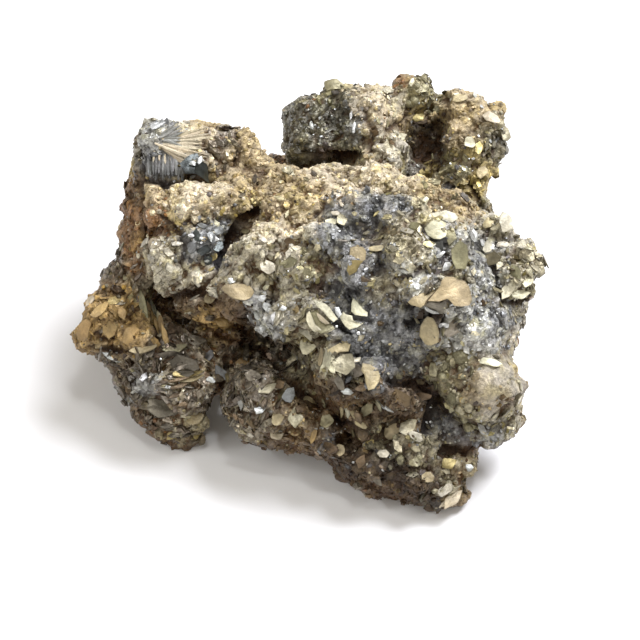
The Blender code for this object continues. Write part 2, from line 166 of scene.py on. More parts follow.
# Where each finish shows on the face: (x, y, reach).
PATCHES = {
    "silver": [
        (-24.8, 31.2, 1.8), (-27.2, 29.5, 1.3), (-9.6, 1.6, 1.9), (-8.8, -0.8, 1.3), (19.2, 12.0, 1.8),
        (25.6, 12.3, 2.2), (26.4, 5.6, 2.6), (24.6, 0.6, 2.4), (22.4, -4.2, 1.9), (-27.5, -10.2, 1.3),
        (28.8, -17.9, 1.3), (4.8, 30.7, 1.0), (26.4, -3.4, 1.6), (14.4, 7.2, 1.6),
    ],
    "cream": [
        (-20.8, 28.6, 2.1), (-21.6, 19.2, 2.4), (-17.0, 20.0, 1.9), (-24.0, 17.6, 1.3), (-3.2, 17.0, 1.6),
        (4.8, 22.7, 2.2), (9.0, 22.6, 1.9), (13.6, 22.4, 1.6), (9.6, 34.4, 2.1), (6.4, 35.6, 1.6),
        (-9.9, 14.1, 1.9), (0.0, 23.4, 1.3), (-5.6, 14.4, 1.6), (-16.8, 24.0, 1.2), (-19.8, 15.6, 1.0),
    ],
    "tan": [
        (-18.9, 31.4, 1.6), (-10.4, 26.4, 2.4), (-11.8, 29.0, 1.3), (-14.4, 23.2, 1.6),
        (-26.9, 20.0, 1.6), (-7.2, 21.4, 2.6), (-12.8, 20.4, 1.6), (16.6, 20.4, 1.8), (20.2, 20.2, 2.2),
        (23.4, 17.6, 1.6), (-19.0, 18.0, 1.0), (21.6, -28.6, 1.8), (24.0, -11.2, 1.9), (24.0, 30.4, 1.9),
        (28.0, 33.2, 1.6), (-5.6, 19.2, 1.6), (-1.6, 20.4, 1.8), (13.2, 31.6, 1.4), (-3.8, -15.7, 1.4),
        (22.4, 33.6, 2.0),
    ],
    "pale": [
        (12.0, 28.2, 1.8), (-25.6, 9.6, 2.4), (-24.3, 6.4, 2.0), (-20.0, 6.8, 2.0), (-5.2, 4.6, 2.2),
        (-8.0, 11.4, 2.2), (-11.4, 11.2, 1.8), (26.9, 15.4, 1.8), (29.4, 16.0, 1.6), (31.6, 12.0, 1.6),
        (20.8, -22.6, 1.3), (-2.4, 11.6, 1.4), (12.2, 34.4, 1.6), (-13.8, 8.2, 1.3),
    ],
    "brass": [
        (-9.0, 8.0, 2.0), (16.8, 17.6, 2.0), (12.8, 11.8, 2.6), (33.0, 8.8, 2.6), (31.2, 4.6, 2.2),
        (-21.6, -18.2, 2.0), (-3.6, -10.0, 1.5), (1.6, -7.0, 1.9), (10.4, -19.2, 1.8), (17.6, -20.8, 2.2),
        (29.4, -15.6, 1.9), (27.2, 28.8, 1.8), (10.8, 5.6, 1.9), (6.4, -9.0, 1.4), (12.6, 15.2, 1.6),
        (-1.0, -3.2, 2.2), (16.0, 10.4, 1.6), (20.6, 7.0, 1.6),
    ],
    "gold": [
        (-30.0, 23.8, 0.9), (-30.2, 27.2, 0.8), (-16.0, 19.4, 0.8), (-22.8, 14.8, 0.8),
        (-11.0, 19.6, 1.2), (-3.4, 19.6, 1.2), (16.2, 33.3, 1.3), (24.9, 27.8, 1.5), (26.2, 23.4, 1.3),
        (31.2, -8.0, 0.8), (17.8, 24.0, 0.8), (-12.0, 17.2, 1.0), (24.4, 21.0, 1.1),
    ],
    "olive": [
        (-17.0, 16.6, 0.8), (22.2, 25.2, 1.4), (1.9, 37.2, 1.8), (16.6, 37.2, 2.2), (14.2, 38.0, 1.2),
        (20.8, -6.4, 2.0), (20.4, -10.0, 2.0), (20.8, -24.6, 2.0), (34.2, 5.4, 1.6), (26.0, 18.9, 1.3),
        (-0.8, 8.8, 2.0), (22.7, 9.6, 1.2), (30.6, 29.6, 1.8), (22.0, -14.4, 1.6), (26.4, 36.2, 1.6),
    ],
    "ochre": [
        (-35.2, 1.6, 2.8), (-37.8, -2.2, 2.0), (-33.0, 3.9, 1.6), (-32.6, -1.6, 2.2), (-30.1, -2.2, 1.6),
        (-16.8, 0.2, 1.8), (-29.2, 12.6, 0.9),
    ],
    "rust": [
        (-30.4, 21.6, 1.2), (-30.8, 18.6, 1.6), (13.6, 37.6, 0.8), (-27.4, 15.9, 1.8), (-26.2, 13.6, 1.3),
        (-30.7, 24.8, 1.2), (-30.4, 16.2, 1.3), (-30.1, 12.2, 1.4), (13.0, 38.6, 0.9), (-29.0, 8.4, 0.9),
    ],
    "brown": [
        (29.4, -13.2, 1.1), (1.0, -10.4, 2.0), (5.4, -12.4, 1.6), (-30.4, 20.2, 1.6), (-30.6, 29.0, 1.2),
        (-11.2, 16.4, 1.3), (-25.6, 2.9, 1.6), (-22.4, 1.6, 2.0), (-17.3, 3.2, 1.6), (-13.4, 1.4, 1.6),
        (-3.0, -13.0, 2.2), (6.4, -23.4, 2.4), (11.2, -24.6, 2.4), (16.0, -27.6, 2.0), (1.6, -22.0, 2.0),
        (13.4, -12.2, 2.2), (8.6, -15.6, 2.4), (4.6, -18.4, 1.8), (-5.6, -18.4, 2.0), (-1.0, -19.6, 1.6),
        (14.4, -15.6, 1.8),
    ],
    "slate": [
        (-25.2, 24.9, 2.2), (-18.2, 13.0, 2.8), (-19.6, 11.2, 1.8), (3.2, 14.4, 2.6), (1.2, 11.8, 2.2),
        (4.2, 5.6, 2.6), (8.8, 1.6, 2.9), (12.6, -2.2, 3.2), (11.4, -7.0, 2.8), (12.4, 18.6, 1.6),
        (9.6, 10.0, 1.8), (24.6, 9.4, 1.4), (30.4, 11.2, 1.2), (29.0, 2.0, 2.4), (6.0, -4.2, 2.2),
        (1.0, -19.9, 0.9), (20.2, -17.6, 2.2), (8.2, 17.4, 1.6), (18.8, 9.0, 1.4), (4.0, -0.8, 1.8),
    ],
    "steel": [
        (-10.6, -3.0, 2.2), (-7.0, -7.4, 2.6), (-15.8, 28.3, 1.6), (-32.0, 7.0, 2.0), (-24.0, -5.6, 2.6),
        (-20.0, -4.4, 2.4), (-25.0, -13.6, 2.4), (-29.6, -8.0, 1.8), (-19.2, -12.2, 1.8),
        (-11.0, -8.6, 2.6), (-10.8, -12.8, 2.4), (-14.0, -11.4, 1.6), (-8.0, -16.0, 2.0),
        (-34.4, -6.0, 1.6), (-24.6, -18.0, 1.6), (-17.6, -7.6, 1.6),
    ],
    "glitter": [
        (-1.6, 31.2, 2.8), (-3.4, 28.0, 2.0), (1.8, 33.4, 2.4), (3.0, 29.2, 1.8), (-19.6, 24.4, 1.4),
    ],
    "dark": [
        (-30.6, 25.6, 1.2), (-31.0, 22.8, 0.9), (-29.6, 28.8, 0.8), (2.4, -11.8, 0.8), (-1.4, -6.4, 0.7),
        (7.0, -11.8, 0.8), (12.4, -15.8, 0.8), (-19.3, 24.3, 1.6), (22.6, -9.2, 1.2), (24.4, -13.9, 0.9),
        (-4.8, -20.6, 1.0), (5.0, -24.6, 1.2), (9.0, -22.4, 0.9), (13.6, -26.8, 1.0), (18.2, -23.4, 0.9),
        (-13.2, -3.4, 1.8), (-16.8, -1.8, 1.2), (4.0, -17.0, 1.0), (16.4, -11.5, 1.6), (21.4, -19.8, 1.6),
        (17.6, 27.5, 2.2), (14.4, 33.0, 1.0), (18.2, -1.6, 1.0), (-14.6, 12.4, 0.7), (-12.2, 15.8, 0.8),
        (0.8, 26.4, 1.4), (-33.0, -5.2, 1.0), (27.8, 3.4, 0.8),
    ],
    "pearl": [
        (27.5, -9.6, 3.3), (28.2, -12.8, 2.4),
    ],
}
PATCH_REACH = 1.3           # spreads every patch a little, so that neighbours meet
PATCH_DEPTH = 0.45          # how much a step in depth counts against one across the face
PATCH_WANDER = 0.8          # how far a patch's edge strays
WILD_SHARE = 0.02           # how faintly the finishes below show: only where no patch reaches, as on the back
WILD_SIZES = (8.0, 3.4)     # spacing of their broad zones and of the spots in them
WILD = [
    "brass", "steel", "tan", "slate", "olive", "brown", "brass", "cream", "steel", "pale", "silver", "rust",
]

eye = Vector((0.0, 0.0, VIEW_DISTANCE))


def tree_of(mesh):
    """The mesh's faces, ready for finding where a line of sight meets them."""
    places = [vert.co for vert in mesh.vertices]
    return BVHTree.FromPolygons(places, [face.vertices for face in mesh.polygons])


def met(tree, x, y):
    """Where the camera's line of sight through x, y meets a surface, and the way out of it there."""
    spot, way, _, _ = tree.ray_cast(eye, (Vector((x, y, 0.0)) - eye).normalized())
    return spot, way


def spot_on_face(x, y):
    """The place on the solid that the camera sees at x, y; None past the outline."""
    return met(solid_tree, x, y)[0]


def off_squared(points, spot, depth_weight):
    """Each point's squared distance from a spot, a step in depth counting this much of one across."""
    off = (points - np.array(spot)) * (1.0, 1.0, depth_weight)
    return (off * off).sum(axis=1)


solid_tree = tree_of(solid_mesh)


def dice(grid, salt):
    """A fixed random number from 0 to 1 for each row of whole numbers."""
    value = np.sin(grid @ np.array((127.1, 311.7, 74.7)) + 19.19 * salt) * 43758.5453
    return value - np.floor(value)


def drift(points, size, salt):
    """Smooth noise from -1 to 1 that changes over this many millimetres."""
    scaled = points / size
    base = np.floor(scaled)
    ease = scaled - base
    ease = ease * ease * (3.0 - 2.0 * ease)
    total = np.zeros(len(points))
    for corner in itertools.product((0, 1), repeat=3):
        weight = np.prod(np.where(corner, ease, 1.0 - ease), axis=1)
        total += weight * dice(base + corner, salt)
    return 2.0 * total - 1.0


def drift_ways(points, size, salts):
    """Smooth noise in all three directions."""
    return np.stack([drift(points, size, salt) for salt in salts], axis=1)


def cells(points, size, salt):
    """How far the nearest and the next of scattered centres are, over their spacing, and the nearest one."""
    scaled = points / size
    base = np.floor(scaled)
    first = np.full(len(points), 9.0)
    second = first.copy()
    nearest = np.zeros_like(points)
    for shift in itertools.product((-1, 0, 1), repeat=3):
        corner = base + shift
        spot = corner + np.stack([dice(corner, salt + turn) for turn in range(3)], axis=1)
        away = np.linalg.norm(spot - scaled, axis=1)
        closer = away < first
        second = np.where(closer, first, np.minimum(second, away))
        nearest[closer] = spot[closer]
        first = np.where(closer, away, first)
    return first, second, nearest


def finish_shares(points):
    """How much of each finish every point has: one row a point, one column a finish."""
    wander = drift_ways(points, 2.2, (1, 2, 3)) + 0.6 * drift_ways(points, 0.9, (4, 5, 6))
    moved = points + PATCH_WANDER * wander
    shares = np.zeros((len(points), len(NAMES)))
    for name, patches in PATCHES.items():
        column = NAMES.index(name)
        for x, y, reach in patches:
            spot = spot_on_face(x, y)
            if spot is None:
                continue
            span = off_squared(moved, spot, PATCH_DEPTH) / (reach * PATCH_REACH) ** 2
            shares[:, column] = np.maximum(shares[:, column], np.exp(-span))
    for size in WILD_SIZES:
        _, _, nearest = cells(moved, size, 7)
        pick = (dice(np.round(nearest * 1000.0), 3) * len(WILD)).astype(int)
        for place, name in enumerate(WILD):
            shares[pick == place, NAMES.index(name)] += WILD_SHARE
    return shares / shares.sum(axis=1, keepdims=True)


def linear(colour):
    """An sRGB colour, 0 to 255, as the linear one that a material takes."""
    share = np.asarray(colour, float) / 255.0
    return np.where(share <= 0.04045, share / 12.92, ((share + 0.055) / 1.055) ** 2.4)


COLOURS = np.array([linear(colour) for colour, _, _, _ in FINISHES.values()])
SHINES, CHIPS, GRAINS = np.array([row[1:] for row in FINISHES.values()]).T

# The creases that part the lumps: the points that each runs through on the face, its half width, its depth.
CREASES = [
    ([(-10.2, 17.6), (-13.0, 15.6), (-14.2, 12.8), (-16.2, 9.2)], 0.62, 2.4),
    ([(-16.2, 9.2), (-18.6, 5.4), (-21.6, 4.6)], 0.5, 1.0),
    ([(-27.6, 22.5), (-24.6, 21.6), (-21.4, 22.4), (-17.4, 22.0)], 0.5, 1.5),
    ([(-28.9, 28.8), (-28.4, 24.0), (-28.7, 18.0), (-27.9, 12.4), (-27.9, 9.2)], 0.5, 1.6),
    ([(-27.9, 9.2), (-26.4, 4.2), (-23.7, 3.2), (-19.6, 4.6), (-16.2, 2.2)], 0.7, 1.8),
    ([(-3.6, 26.2), (1.0, 26.3), (5.6, 26.2)], 0.6, 3.0),
    ([(-16.5, -2.2), (-13.0, -3.4), (-9.4, -4.6), (-5.2, -9.2), (-0.8, -13.4)], 0.6, 1.6),
    ([(-17.0, -14.0), (-15.8, -10.0), (-14.8, -6.4)], 0.55, 1.6),
    ([(2.4, -15.8), (5.0, -17.2)], 0.8, 2.6),
    ([(11.8, -10.0), (15.8, -10.2), (18.4, -13.0), (17.0, -17.2)], 0.8, 1.8),
    ([(20.0, -20.6), (23.4, -21.2), (25.6, -20.4)], 0.7, 1.6),
    ([(28.0, 9.4), (28.9, 5.4), (30.0, 3.0), (33.4, 2.6)], 0.55, 1.6),
    ([(24.0, 21.8), (25.4, 18.6), (27.4, 17.4)], 0.6, 1.6),
    ([(-26.9, 4.0), (-26.4, 0.6), (-25.6, -3.8)], 0.55, 1.6),
    ([(-36.8, -4.6), (-33.4, -4.6), (-30.2, -5.2)], 0.5, 1.4),
    ([(-13.2, 29.8), (-12.8, 27.4), (-13.6, 24.8)], 0.45, 1.2),
    ([(-18.2, 30.2), (-18.4, 27.4), (-16.4, 25.6), (-13.6, 24.8)], 0.4, 0.9),
    ([(-25.2, 16.6), (-23.0, 14.6), (-21.6, 11.4), (-22.4, 9.0)], 0.4, 0.8),
    ([(7.0, 33.6), (8.4, 30.6), (8.2, 27.2)], 0.6, 0.7),
    ([(18.6, 0.8), (16.8, -0.2)], 0.6, 1.4),
    ([(10.2, 30.4), (13.6, 31.8), (14.6, 35.4)], 0.7, 0.6),
    ([(20.8, 32.4), (20.2, 35.6)], 0.7, 0.6),
    ([(14.0, 2.2), (16.0, 1.2), (17.4, 0.8)], 0.5, 1.4),
    ([(19.8, 0.6), (20.0, -0.6), (19.4, -1.6)], 0.45, 1.3),
    ([(16.2, -0.6), (15.9, -3.4)], 0.45, 1.1),
    ([(-0.9, 1.0), (-0.3, -0.4), (0.3, -1.3)], 0.4, 1.0),
    ([(2.5, -0.2), (3.6, -1.4), (4.9, -2.2)], 0.5, 1.3),
    ([(-3.5, -1.8), (-1.6, -2.5), (0.3, -2.7)], 0.45, 1.3),
    ([(6.7, -8.8), (7.1, -10.2), (7.7, -11.4)], 0.4, 1.1),
    ([(18.0, 12.7), (20.2, 12.4)], 0.45, 1.0),
]
CREASE_STEP = 0.45          # how far apart the spots lie that a crease is followed by
CREASE_DEPTH = 0.35         # how much a step in depth counts against one across the face
DEEP_CREASE = 1.2           # a crease's painted shade is at its darkest from this depth on
CRACK_SIZE = 2.6            # how far apart the fine cracks run that part the plates
CRACK_WIDTH = 0.09          # how quickly a crack ends, over that distance
PLATY = {
    "brown": 1.0, "steel": 0.9, "brass": 0.7, "olive": 0.8, "ochre": 0.8, "slate": 0.5, "pale": 0.5,
    "gold": 0.6,
}

# The lumps that stand out most: (x, y, reach, height).
SWELLS = [
    (-20.4, 18.6, 4.6, 0.7), (-25.2, 8.4, 3.8, 0.9), (-19.6, 6.9, 2.4, 0.7), (-26.8, 20.2, 1.8, 0.6),
    (-10.4, 26.0, 2.8, 0.5), (27.4, -10.8, 4.4, 0.9), (29.6, 15.4, 2.2, 0.6), (31.6, 6.0, 3.0, 0.5),
    (-5.0, 4.6, 2.8, 0.6), (-16.8, 0.2, 2.2, 0.7), (-10.2, -9.6, 4.4, 0.5), (20.6, -23.0, 1.6, 0.5),
    (14.2, -17.8, 2.2, 0.6), (11.4, -18.0, 1.5, 0.5), (20.6, 3.6, 3.0, 0.6), (-17.8, 13.2, 2.4, 0.4),
]

SWELL_DEPTH = 0.5           # as above, for the lumps

# How high each kind of relief stands: rounded cobbles, broad facets and the chips on them, buds and the seeds
# between them, two sizes of gentle waves, and how deep the fine cracks are.
COBBLE_RISE, SLAB_RISE, CHIP_RISE, BUD_RISE, SEED_RISE = 0.50, 0.44, 0.32, 0.26, 0.20
WAVE_RISE, RIPPLE_RISE, CRACK_DROP = 0.20, 0.10, 0.40


def by_finish(table):
    """A table's number for each of the finishes, 0 where it has none."""
    return np.array([table.get(name, 0.0) for name in NAMES])


shares = finish_shares(skin)
angular = shares @ CHIPS
grain = shares @ GRAINS
out = normals_of(crust.data)


def nearness(points, route, reach):
    """How near each point lies to a route that the camera sees: 1 on it, fading over the reach."""
    closest = np.full(len(points), 99.0)
    for (x0, y0), (x1, y1) in zip(route, route[1:]):
        count = max(1, round(math.hypot(x1 - x0, y1 - y0) / CREASE_STEP))
        for part in range(count + 1):
            spot = spot_on_face(x0 + (x1 - x0) * part / count, y0 + (y1 - y0) * part / count)
            if spot is not None:
                closest = np.minimum(closest, off_squared(points, spot, CREASE_DEPTH))
    return np.exp(-closest / reach ** 2)


def cobbles(points, size, salt):
    """Rounded lumps that meet in narrow creases, 0 in a crease to 1 on a lump, and each point's own lump."""
    first, second, centre = cells(points, size, salt)
    return 0.75 * (1.0 - np.exp((first - second) / 0.22)) + 0.5 * (0.75 - first), centre


def facets(points, size, salt):
    """Flat chips tipped every way, about -1 to 1 high, and each point's own chip."""
    _, _, centre = cells(points, size, salt)
    grid = np.round(centre * 1000.0)
    tip = np.stack([dice(grid, salt + turn) for turn in (31, 32, 33)], axis=1) - 0.5
    rise = ((points / size - centre) * tip).sum(axis=1)
    return 2.4 * rise + 0.9 * (dice(grid, salt + 34) - 0.5), centre


wavy = skin + 0.5 * drift_ways(skin, 2.0, (14, 15, 16))
knob, _ = cobbles(wavy, 4.6, 11)
slab, _ = facets(wavy, 3.0, 51)
chip, chip_centre = facets(wavy, 1.5, 52)
bud, _ = cobbles(wavy, 1.7, 12)
seed, seed_centre = cobbles(skin, 0.9, 13)
crack_near, crack_next, _ = cells(wavy, CRACK_SIZE, 61)
crack = (shares @ by_finish(PLATY)) * np.exp((crack_near - crack_next) / CRACK_WIDTH)
height = COBBLE_RISE * (knob - 0.62) * np.minimum(angular + grain, 1.0)
height += (SLAB_RISE * slab + CHIP_RISE * chip) * angular
height += (BUD_RISE * (bud - 0.60) + SEED_RISE * (seed - 0.58)) * grain
height += WAVE_RISE * drift(skin, 3.2, 20) + RIPPLE_RISE * drift(skin, 1.0, 21) - CRACK_DROP * crack
for x, y, reach, rise in SWELLS:
    span = off_squared(skin, spot_on_face(x, y), SWELL_DEPTH) / reach ** 2
    height += rise * np.clip(1.0 - span, 0.0, None) ** 2
# Painted shade in the creases, the darker the deeper each is cut.
crease_shade = np.zeros(len(skin))
for route, reach, depth in CREASES:
    near = nearness(skin, route, reach)
    height -= depth * near
    crease_shade = np.maximum(crease_shade, near * min(depth / DEEP_CREASE, 1.0))
skin = skin + out * (SWELL + height)[:, None]


def kept_above_floor(points):
    """Lifts what would sink under the surface that the specimen rests on."""
    rows = points @ np.array(to_row.to_3x3()).T + np.array(to_row.translation)
    under = np.minimum(rows[:, 2], 0.0)
    back = np.array(to_face.to_3x3()) @ np.array((0.0, 0.0, 1.0))
    return points - under[:, None] * back


skin = kept_above_floor(skin)
put_points(crust.data, skin)
calm_mesh = crust.data.copy()


def rise_over(rounds, span):
    """How far the crust stands over its relaxed shape, -1 in a hollow to 1 on a ridge; and its normals."""
    calm = relaxed(skin, edge_ends, rounds)
    put_points(calm_mesh, calm)
    calm_out = normals_of(calm_mesh)
    return np.clip(((skin - calm) * calm_out).sum(axis=1) / span, -1.0, 1.0), calm_out


ridge, calm_out = rise_over(10, 0.40)
hill, _ = rise_over(67, 1.3)

# The crust's colours: each finish's own, with a painted highlight on the ridges and painted shade, browner,
# in the hollows; with dirt and painted shade together in the creases, between the grains, under the
# overhangs and low down.
LOW_SHADE_BAND = 11.0             # the lowest band of the cluster, painted darker there as shade
STRAY_HUE = np.array((0.06, 0.02, -0.30))   # how each seed's red, green and blue stray: yellower or bluer
SHADOW_LOSS = np.array((0.0, 0.18, 0.74))   # what of each the darker spots and the painted shade in the hollows lose, so that they turn brown
# The browns of the dirt and of the painted shade in the hollows, and their grey among the slate.
DIRT_AND_SHADE = linear((74, 45, 9))
GREY_DIRT_AND_SHADE = linear((50, 51, 54))    # dirt and painted shade between the small slate grey crystals
tint = shares @ COLOURS
hue = dice(np.round(seed_centre * 1000.0), 8) - 0.5 + 0.6 * drift(skin, 1.6, 23) + 0.4 * drift(skin, 3.4, 24)
hue = np.where(hue < 0.0, 0.35 * hue, hue)
tint = tint * (1.0 + hue[:, None] * STRAY_HUE)
tone = 0.7 * (dice(np.round(chip_centre * 1000.0), 5) - 0.5)
tone += 0.5 * (dice(np.round(seed_centre * 1000.0), 6) - 0.5)
tone += 0.35 * drift(skin, 2.6, 22)
# Painted light: the ridges lighter and the broad hollows darker, over each chip's and seed's own tone.
tone = 0.46 * tone + 0.40 * ridge + 0.25 * np.minimum(hill, 0.3)
greyed = shares[:, NAMES.index("slate")] + shares[:, NAMES.index("silver")]
warmed = (np.clip(-tone, 0.0, 1.0) * (1.0 - 0.7 * greyed))[:, None] * SHADOW_LOSS
tint = tint * (1.0 + tone)[:, None] * (1.0 - warmed)
upward = np.array(to_face.to_3x3().normalized() @ Vector((0.0, 0.0, 1.0)))
# Painted shade on the faces that look down, under the overhangs.
under = np.clip(-(calm_out @ upward) - 0.1, 0.0, 1.0)
above_floor = skin @ np.array(to_row.to_3x3())[2] / MM + to_row.translation.z / MM
# Painted shade low down, fading out over the lowest band above the surface the cluster rests on.
low = np.clip(1.0 - above_floor / LOW_SHADE_BAND, 0.0, 1.0)
# Dirt and painted shade in one measure: the hollows, the gaps between the buds, the creases, the cracks, the
# faces under the overhangs and the lowest band are made darker and browner, partly dirt, partly painted
# shade.
dirt_and_shade = 0.85 * np.clip(-ridge * 1.2, 0.0, 1.0) + 0.50 * np.clip(-hill, 0.0, 1.0)
dirt_and_shade += 0.45 * grain * np.clip(1.0 - bud / 0.4, 0.0, 1.0) + 0.70 * low
dirt_and_shade = np.clip(dirt_and_shade + 0.8 * crease_shade + 0.6 * crack + 0.8 * under, 0.0, 0.92)
dirt_and_shade_hue = DIRT_AND_SHADE + (GREY_DIRT_AND_SHADE - DIRT_AND_SHADE) * np.clip(greyed, 0.0, 1.0)[:, None]
tint = tint * (1.0 - dirt_and_shade)[:, None] + dirt_and_shade_hue * (dirt_and_shade * (1.0 - 0.6 * crease_shade))[:, None]

# Broad stretches that are lighter or darker than their finish, partly their own tone and partly painted light
# and shade: (x, y, reach, how much, in doublings).
SHADES = [
    (3.4, 33.6, 3.2, -1.05), (28.8, 28.8, 3.4, -1.60), (-28.8, 28.6, 2.2, -0.75),
    (22.8, 28.0, 2.4, -0.45), (-22.2, 18.0, 3.6, 0.62), (-17.6, 29.2, 2.4, 0.85),
    (-22.4, 22.6, 2.0, 0.45), (2.8, 17.4, 3.4, 1.15), (-3.6, 12.8, 3.2, 0.60), (-12.8, 12.8, 2.4, 0.75),
    (7.8, 12.8, 2.6, 0.60), (2.4, 7.8, 3.0, 1.35), (15.4, 7.4, 4.0, 0.70), (18.4, 13.0, 2.6, 0.50),
    (-18.2, 8.4, 2.6, 1.25), (-30.6, 7.4, 3.2, 0.75), (-25.4, 2.4, 3.4, 1.05), (-15.0, -2.6, 3.4, 1.45),
    (-18.6, -8.2, 3.8, 1.50), (-23.0, -14.2, 3.4, 0.75), (23.0, -3.0, 3.0, 1.05), (12.8, -3.2, 3.2, 0.95),
    (5.2, -8.0, 3.8, -1.40), (-2.6, -7.4, 2.4, -0.55), (-1.6, 2.8, 3.0, -0.35), (10.4, -18.2, 3.6, -1.05),
    (12.6, -23.6, 3.2, -1.60), (4.6, -23.0, 3.8, -1.00), (17.8, -28.4, 3.6, -1.50),
    (23.2, -22.6, 2.6, 1.05), (28.4, -17.8, 2.6, -0.75), (-28.4, -8.0, 2.4, -0.70),
    (27.8, 3.0, 2.8, 0.50), (-8.6, -13.2, 2.8, 0.60), (-2.8, -19.2, 2.6, 0.50), (17.8, -13.0, 1.6, -0.80),
    (12.8, 30.6, 1.4, -0.30), (23.0, 19.8, 2.0, -0.50),
]
doublings = np.zeros(len(skin))
for x, y, reach, change in SHADES:
    spot = spot_on_face(x, y)
    if spot is not None:
        doublings += change * np.exp(-off_squared(skin, spot, PATCH_DEPTH) / reach ** 2)
painted_light_gain = (2.0 ** doublings)[:, None]
tint = tint * painted_light_gain
shine = np.clip(shares @ SHINES + 0.15 * ridge, 0.0, 1.0) * (1.0 - 0.7 * dirt_and_shade)


def paint(mesh, tints, shines):
    """Stores each point's colour and shine, which the materials read."""
    layer = mesh.attributes.new("tint", "FLOAT_COLOR", "POINT")
    whole = np.ones((len(tints), 4), np.float32)
    whole[:, :3] = np.clip(tints, 0.0, 1.0)
    layer.data.foreach_set("color", whole.ravel())
    mesh.attributes.new("shine", "FLOAT", "POINT").data.foreach_set("value", shines.astype(np.float32))


# How the crust and all that grows on it is drawn: one kind of material, more or less rough.


def add_node(tree, kind, result, inputs=None, **settings):
    """Adds a node with these settings, links or sets each of its inputs, and gives the named output."""
    node = tree.nodes.new("ShaderNode" + kind)
    for setting, value in settings.items():
        setattr(node, setting, value)
    for place, value in (inputs or {}).items():
        if isinstance(value, bpy.types.NodeSocket):
            tree.links.new(value, node.inputs[place])
        else:
            node.inputs[place].default_value = value
    return node.outputs[result]


def mapped(tree, value, low, high, start=0.0, stop=1.0):
    """A Map Range node's result: the value's stretch from start to stop becomes low to high."""
    stretch = {"Value": value, "From Min": start, "From Max": stop, "To Min": low, "To Max": high}
    return add_node(tree, "MapRange", "Result", stretch)


def vector_math(tree, operation, inputs):
    """A Vector Math node's result, for its inputs by number or name."""
    return add_node(tree, "VectorMath", "Vector", inputs, operation=operation)


FLECK_SCALE, STAIN_SCALE = 2200.0, 800.0    # how fine the flecks and the stains are, per metre
FLECK_STRETCH = (0.32, 0.68)                # the part of the noise that runs from darkest to lightest
STAIN_STRETCH = (0.34, 0.66)
STAINS = (0.54, 1.26)                       # how dark and how light the stains are
DULL_TILT = 0.15                            # how little of their tilt the facets keep on dull mineral
SHINY_GRIT = 0.35                           # how much of its grit bare metal keeps


def skin_material(name, facets_mm, roughness, mottle, grit_mm, stains=STAINS):
    """Crystalline metal with tiny facets (size, tilt) and grit; its colour and shine are the mesh's own."""
    material = bpy.data.materials.new(name)
    material.use_nodes = True
    tree = material.node_tree
    shader = tree.nodes["Principled BSDF"]
    place = add_node(tree, "TexCoord", "Object")
    colour = add_node(tree, "Attribute", "Color", attribute_name="tint")
    shine = add_node(tree, "Attribute", "Fac", attribute_name="shine")
    fleck = {"Vector": place, "Scale": FLECK_SCALE, "Detail": 4.0, "Roughness": 0.6}
    fleck = add_node(tree, "TexNoise", "Fac", fleck)
    stain = {"Vector": place, "Scale": STAIN_SCALE, "Detail": 5.0, "Roughness": 0.65}
    stain = add_node(tree, "TexNoise", "Fac", stain)
    shade = mapped(tree, fleck, 1.0 - mottle, 1.0 + mottle, *FLECK_STRETCH)
    stained = {0: shade, 1: mapped(tree, stain, *stains, *STAIN_STRETCH)}
    stained = add_node(tree, "Math", "Value", stained, operation="MULTIPLY")
    tree.links.new(vector_math(tree, "SCALE", {0: colour, "Scale": stained}), shader.inputs["Base Color"])
    tree.links.new(shine, shader.inputs["Metallic"])
    tree.links.new(mapped(tree, shine, *roughness), shader.inputs["Roughness"])
    way = add_node(tree, "NewGeometry", "Normal")
    for size, tilt in facets_mm:
        facet = add_node(tree, "TexVoronoi", "Color", {"Vector": place, "Scale": 1.0 / (size * MM)})
        centred = vector_math(tree, "SUBTRACT", {0: facet, 1: (0.5, 0.5, 0.5)})
        tilted = mapped(tree, shine, DULL_TILT * tilt, tilt)
        way = vector_math(tree, "ADD", {0: vector_math(tree, "SCALE", {0: centred, "Scale": tilted}), 1: way})
    grit = {
        "Strength": mapped(tree, shine, 1.0, SHINY_GRIT),
        "Distance": grit_mm * MM,
        "Height": fleck,
        "Normal": vector_math(tree, "NORMALIZE", {0: way}),
    }
    tree.links.new(add_node(tree, "Bump", "Normal", grit), shader.inputs["Normal"])
    return material


paint(crust.data, tint, shine)
crust.data.materials.clear()
crust.data.materials.append(skin_material("crust", [(0.9, 0.55), (0.36, 0.6)], (0.66, 0.32), 0.40, 0.5))
crust_tree = tree_of(crust.data)
corners = read(crust.data.loops, "vertex_index", 1, np.int32).reshape(-1, 4)
crust.data.transform(to_row)
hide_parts("pyrite_specimen")
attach(crust, "root")

# The show plates: the large curved leaves, discs and chips that stand out on the face, each at its own place.
# They are thin crystals of the same metal, uneven discs that curl a little, each grown from the crust.
PLATE_THICK = 0.30
PLATE_SIDES = 18
PLATE_RINGS = (0.55, 0.86, 1.0)             # where a plate's rings lie, over its reach
RING_SHADES = (1.0, 0.97, 1.04, 0.80)       # hub and rings: painted highlight on the lip, painted shade at the edge
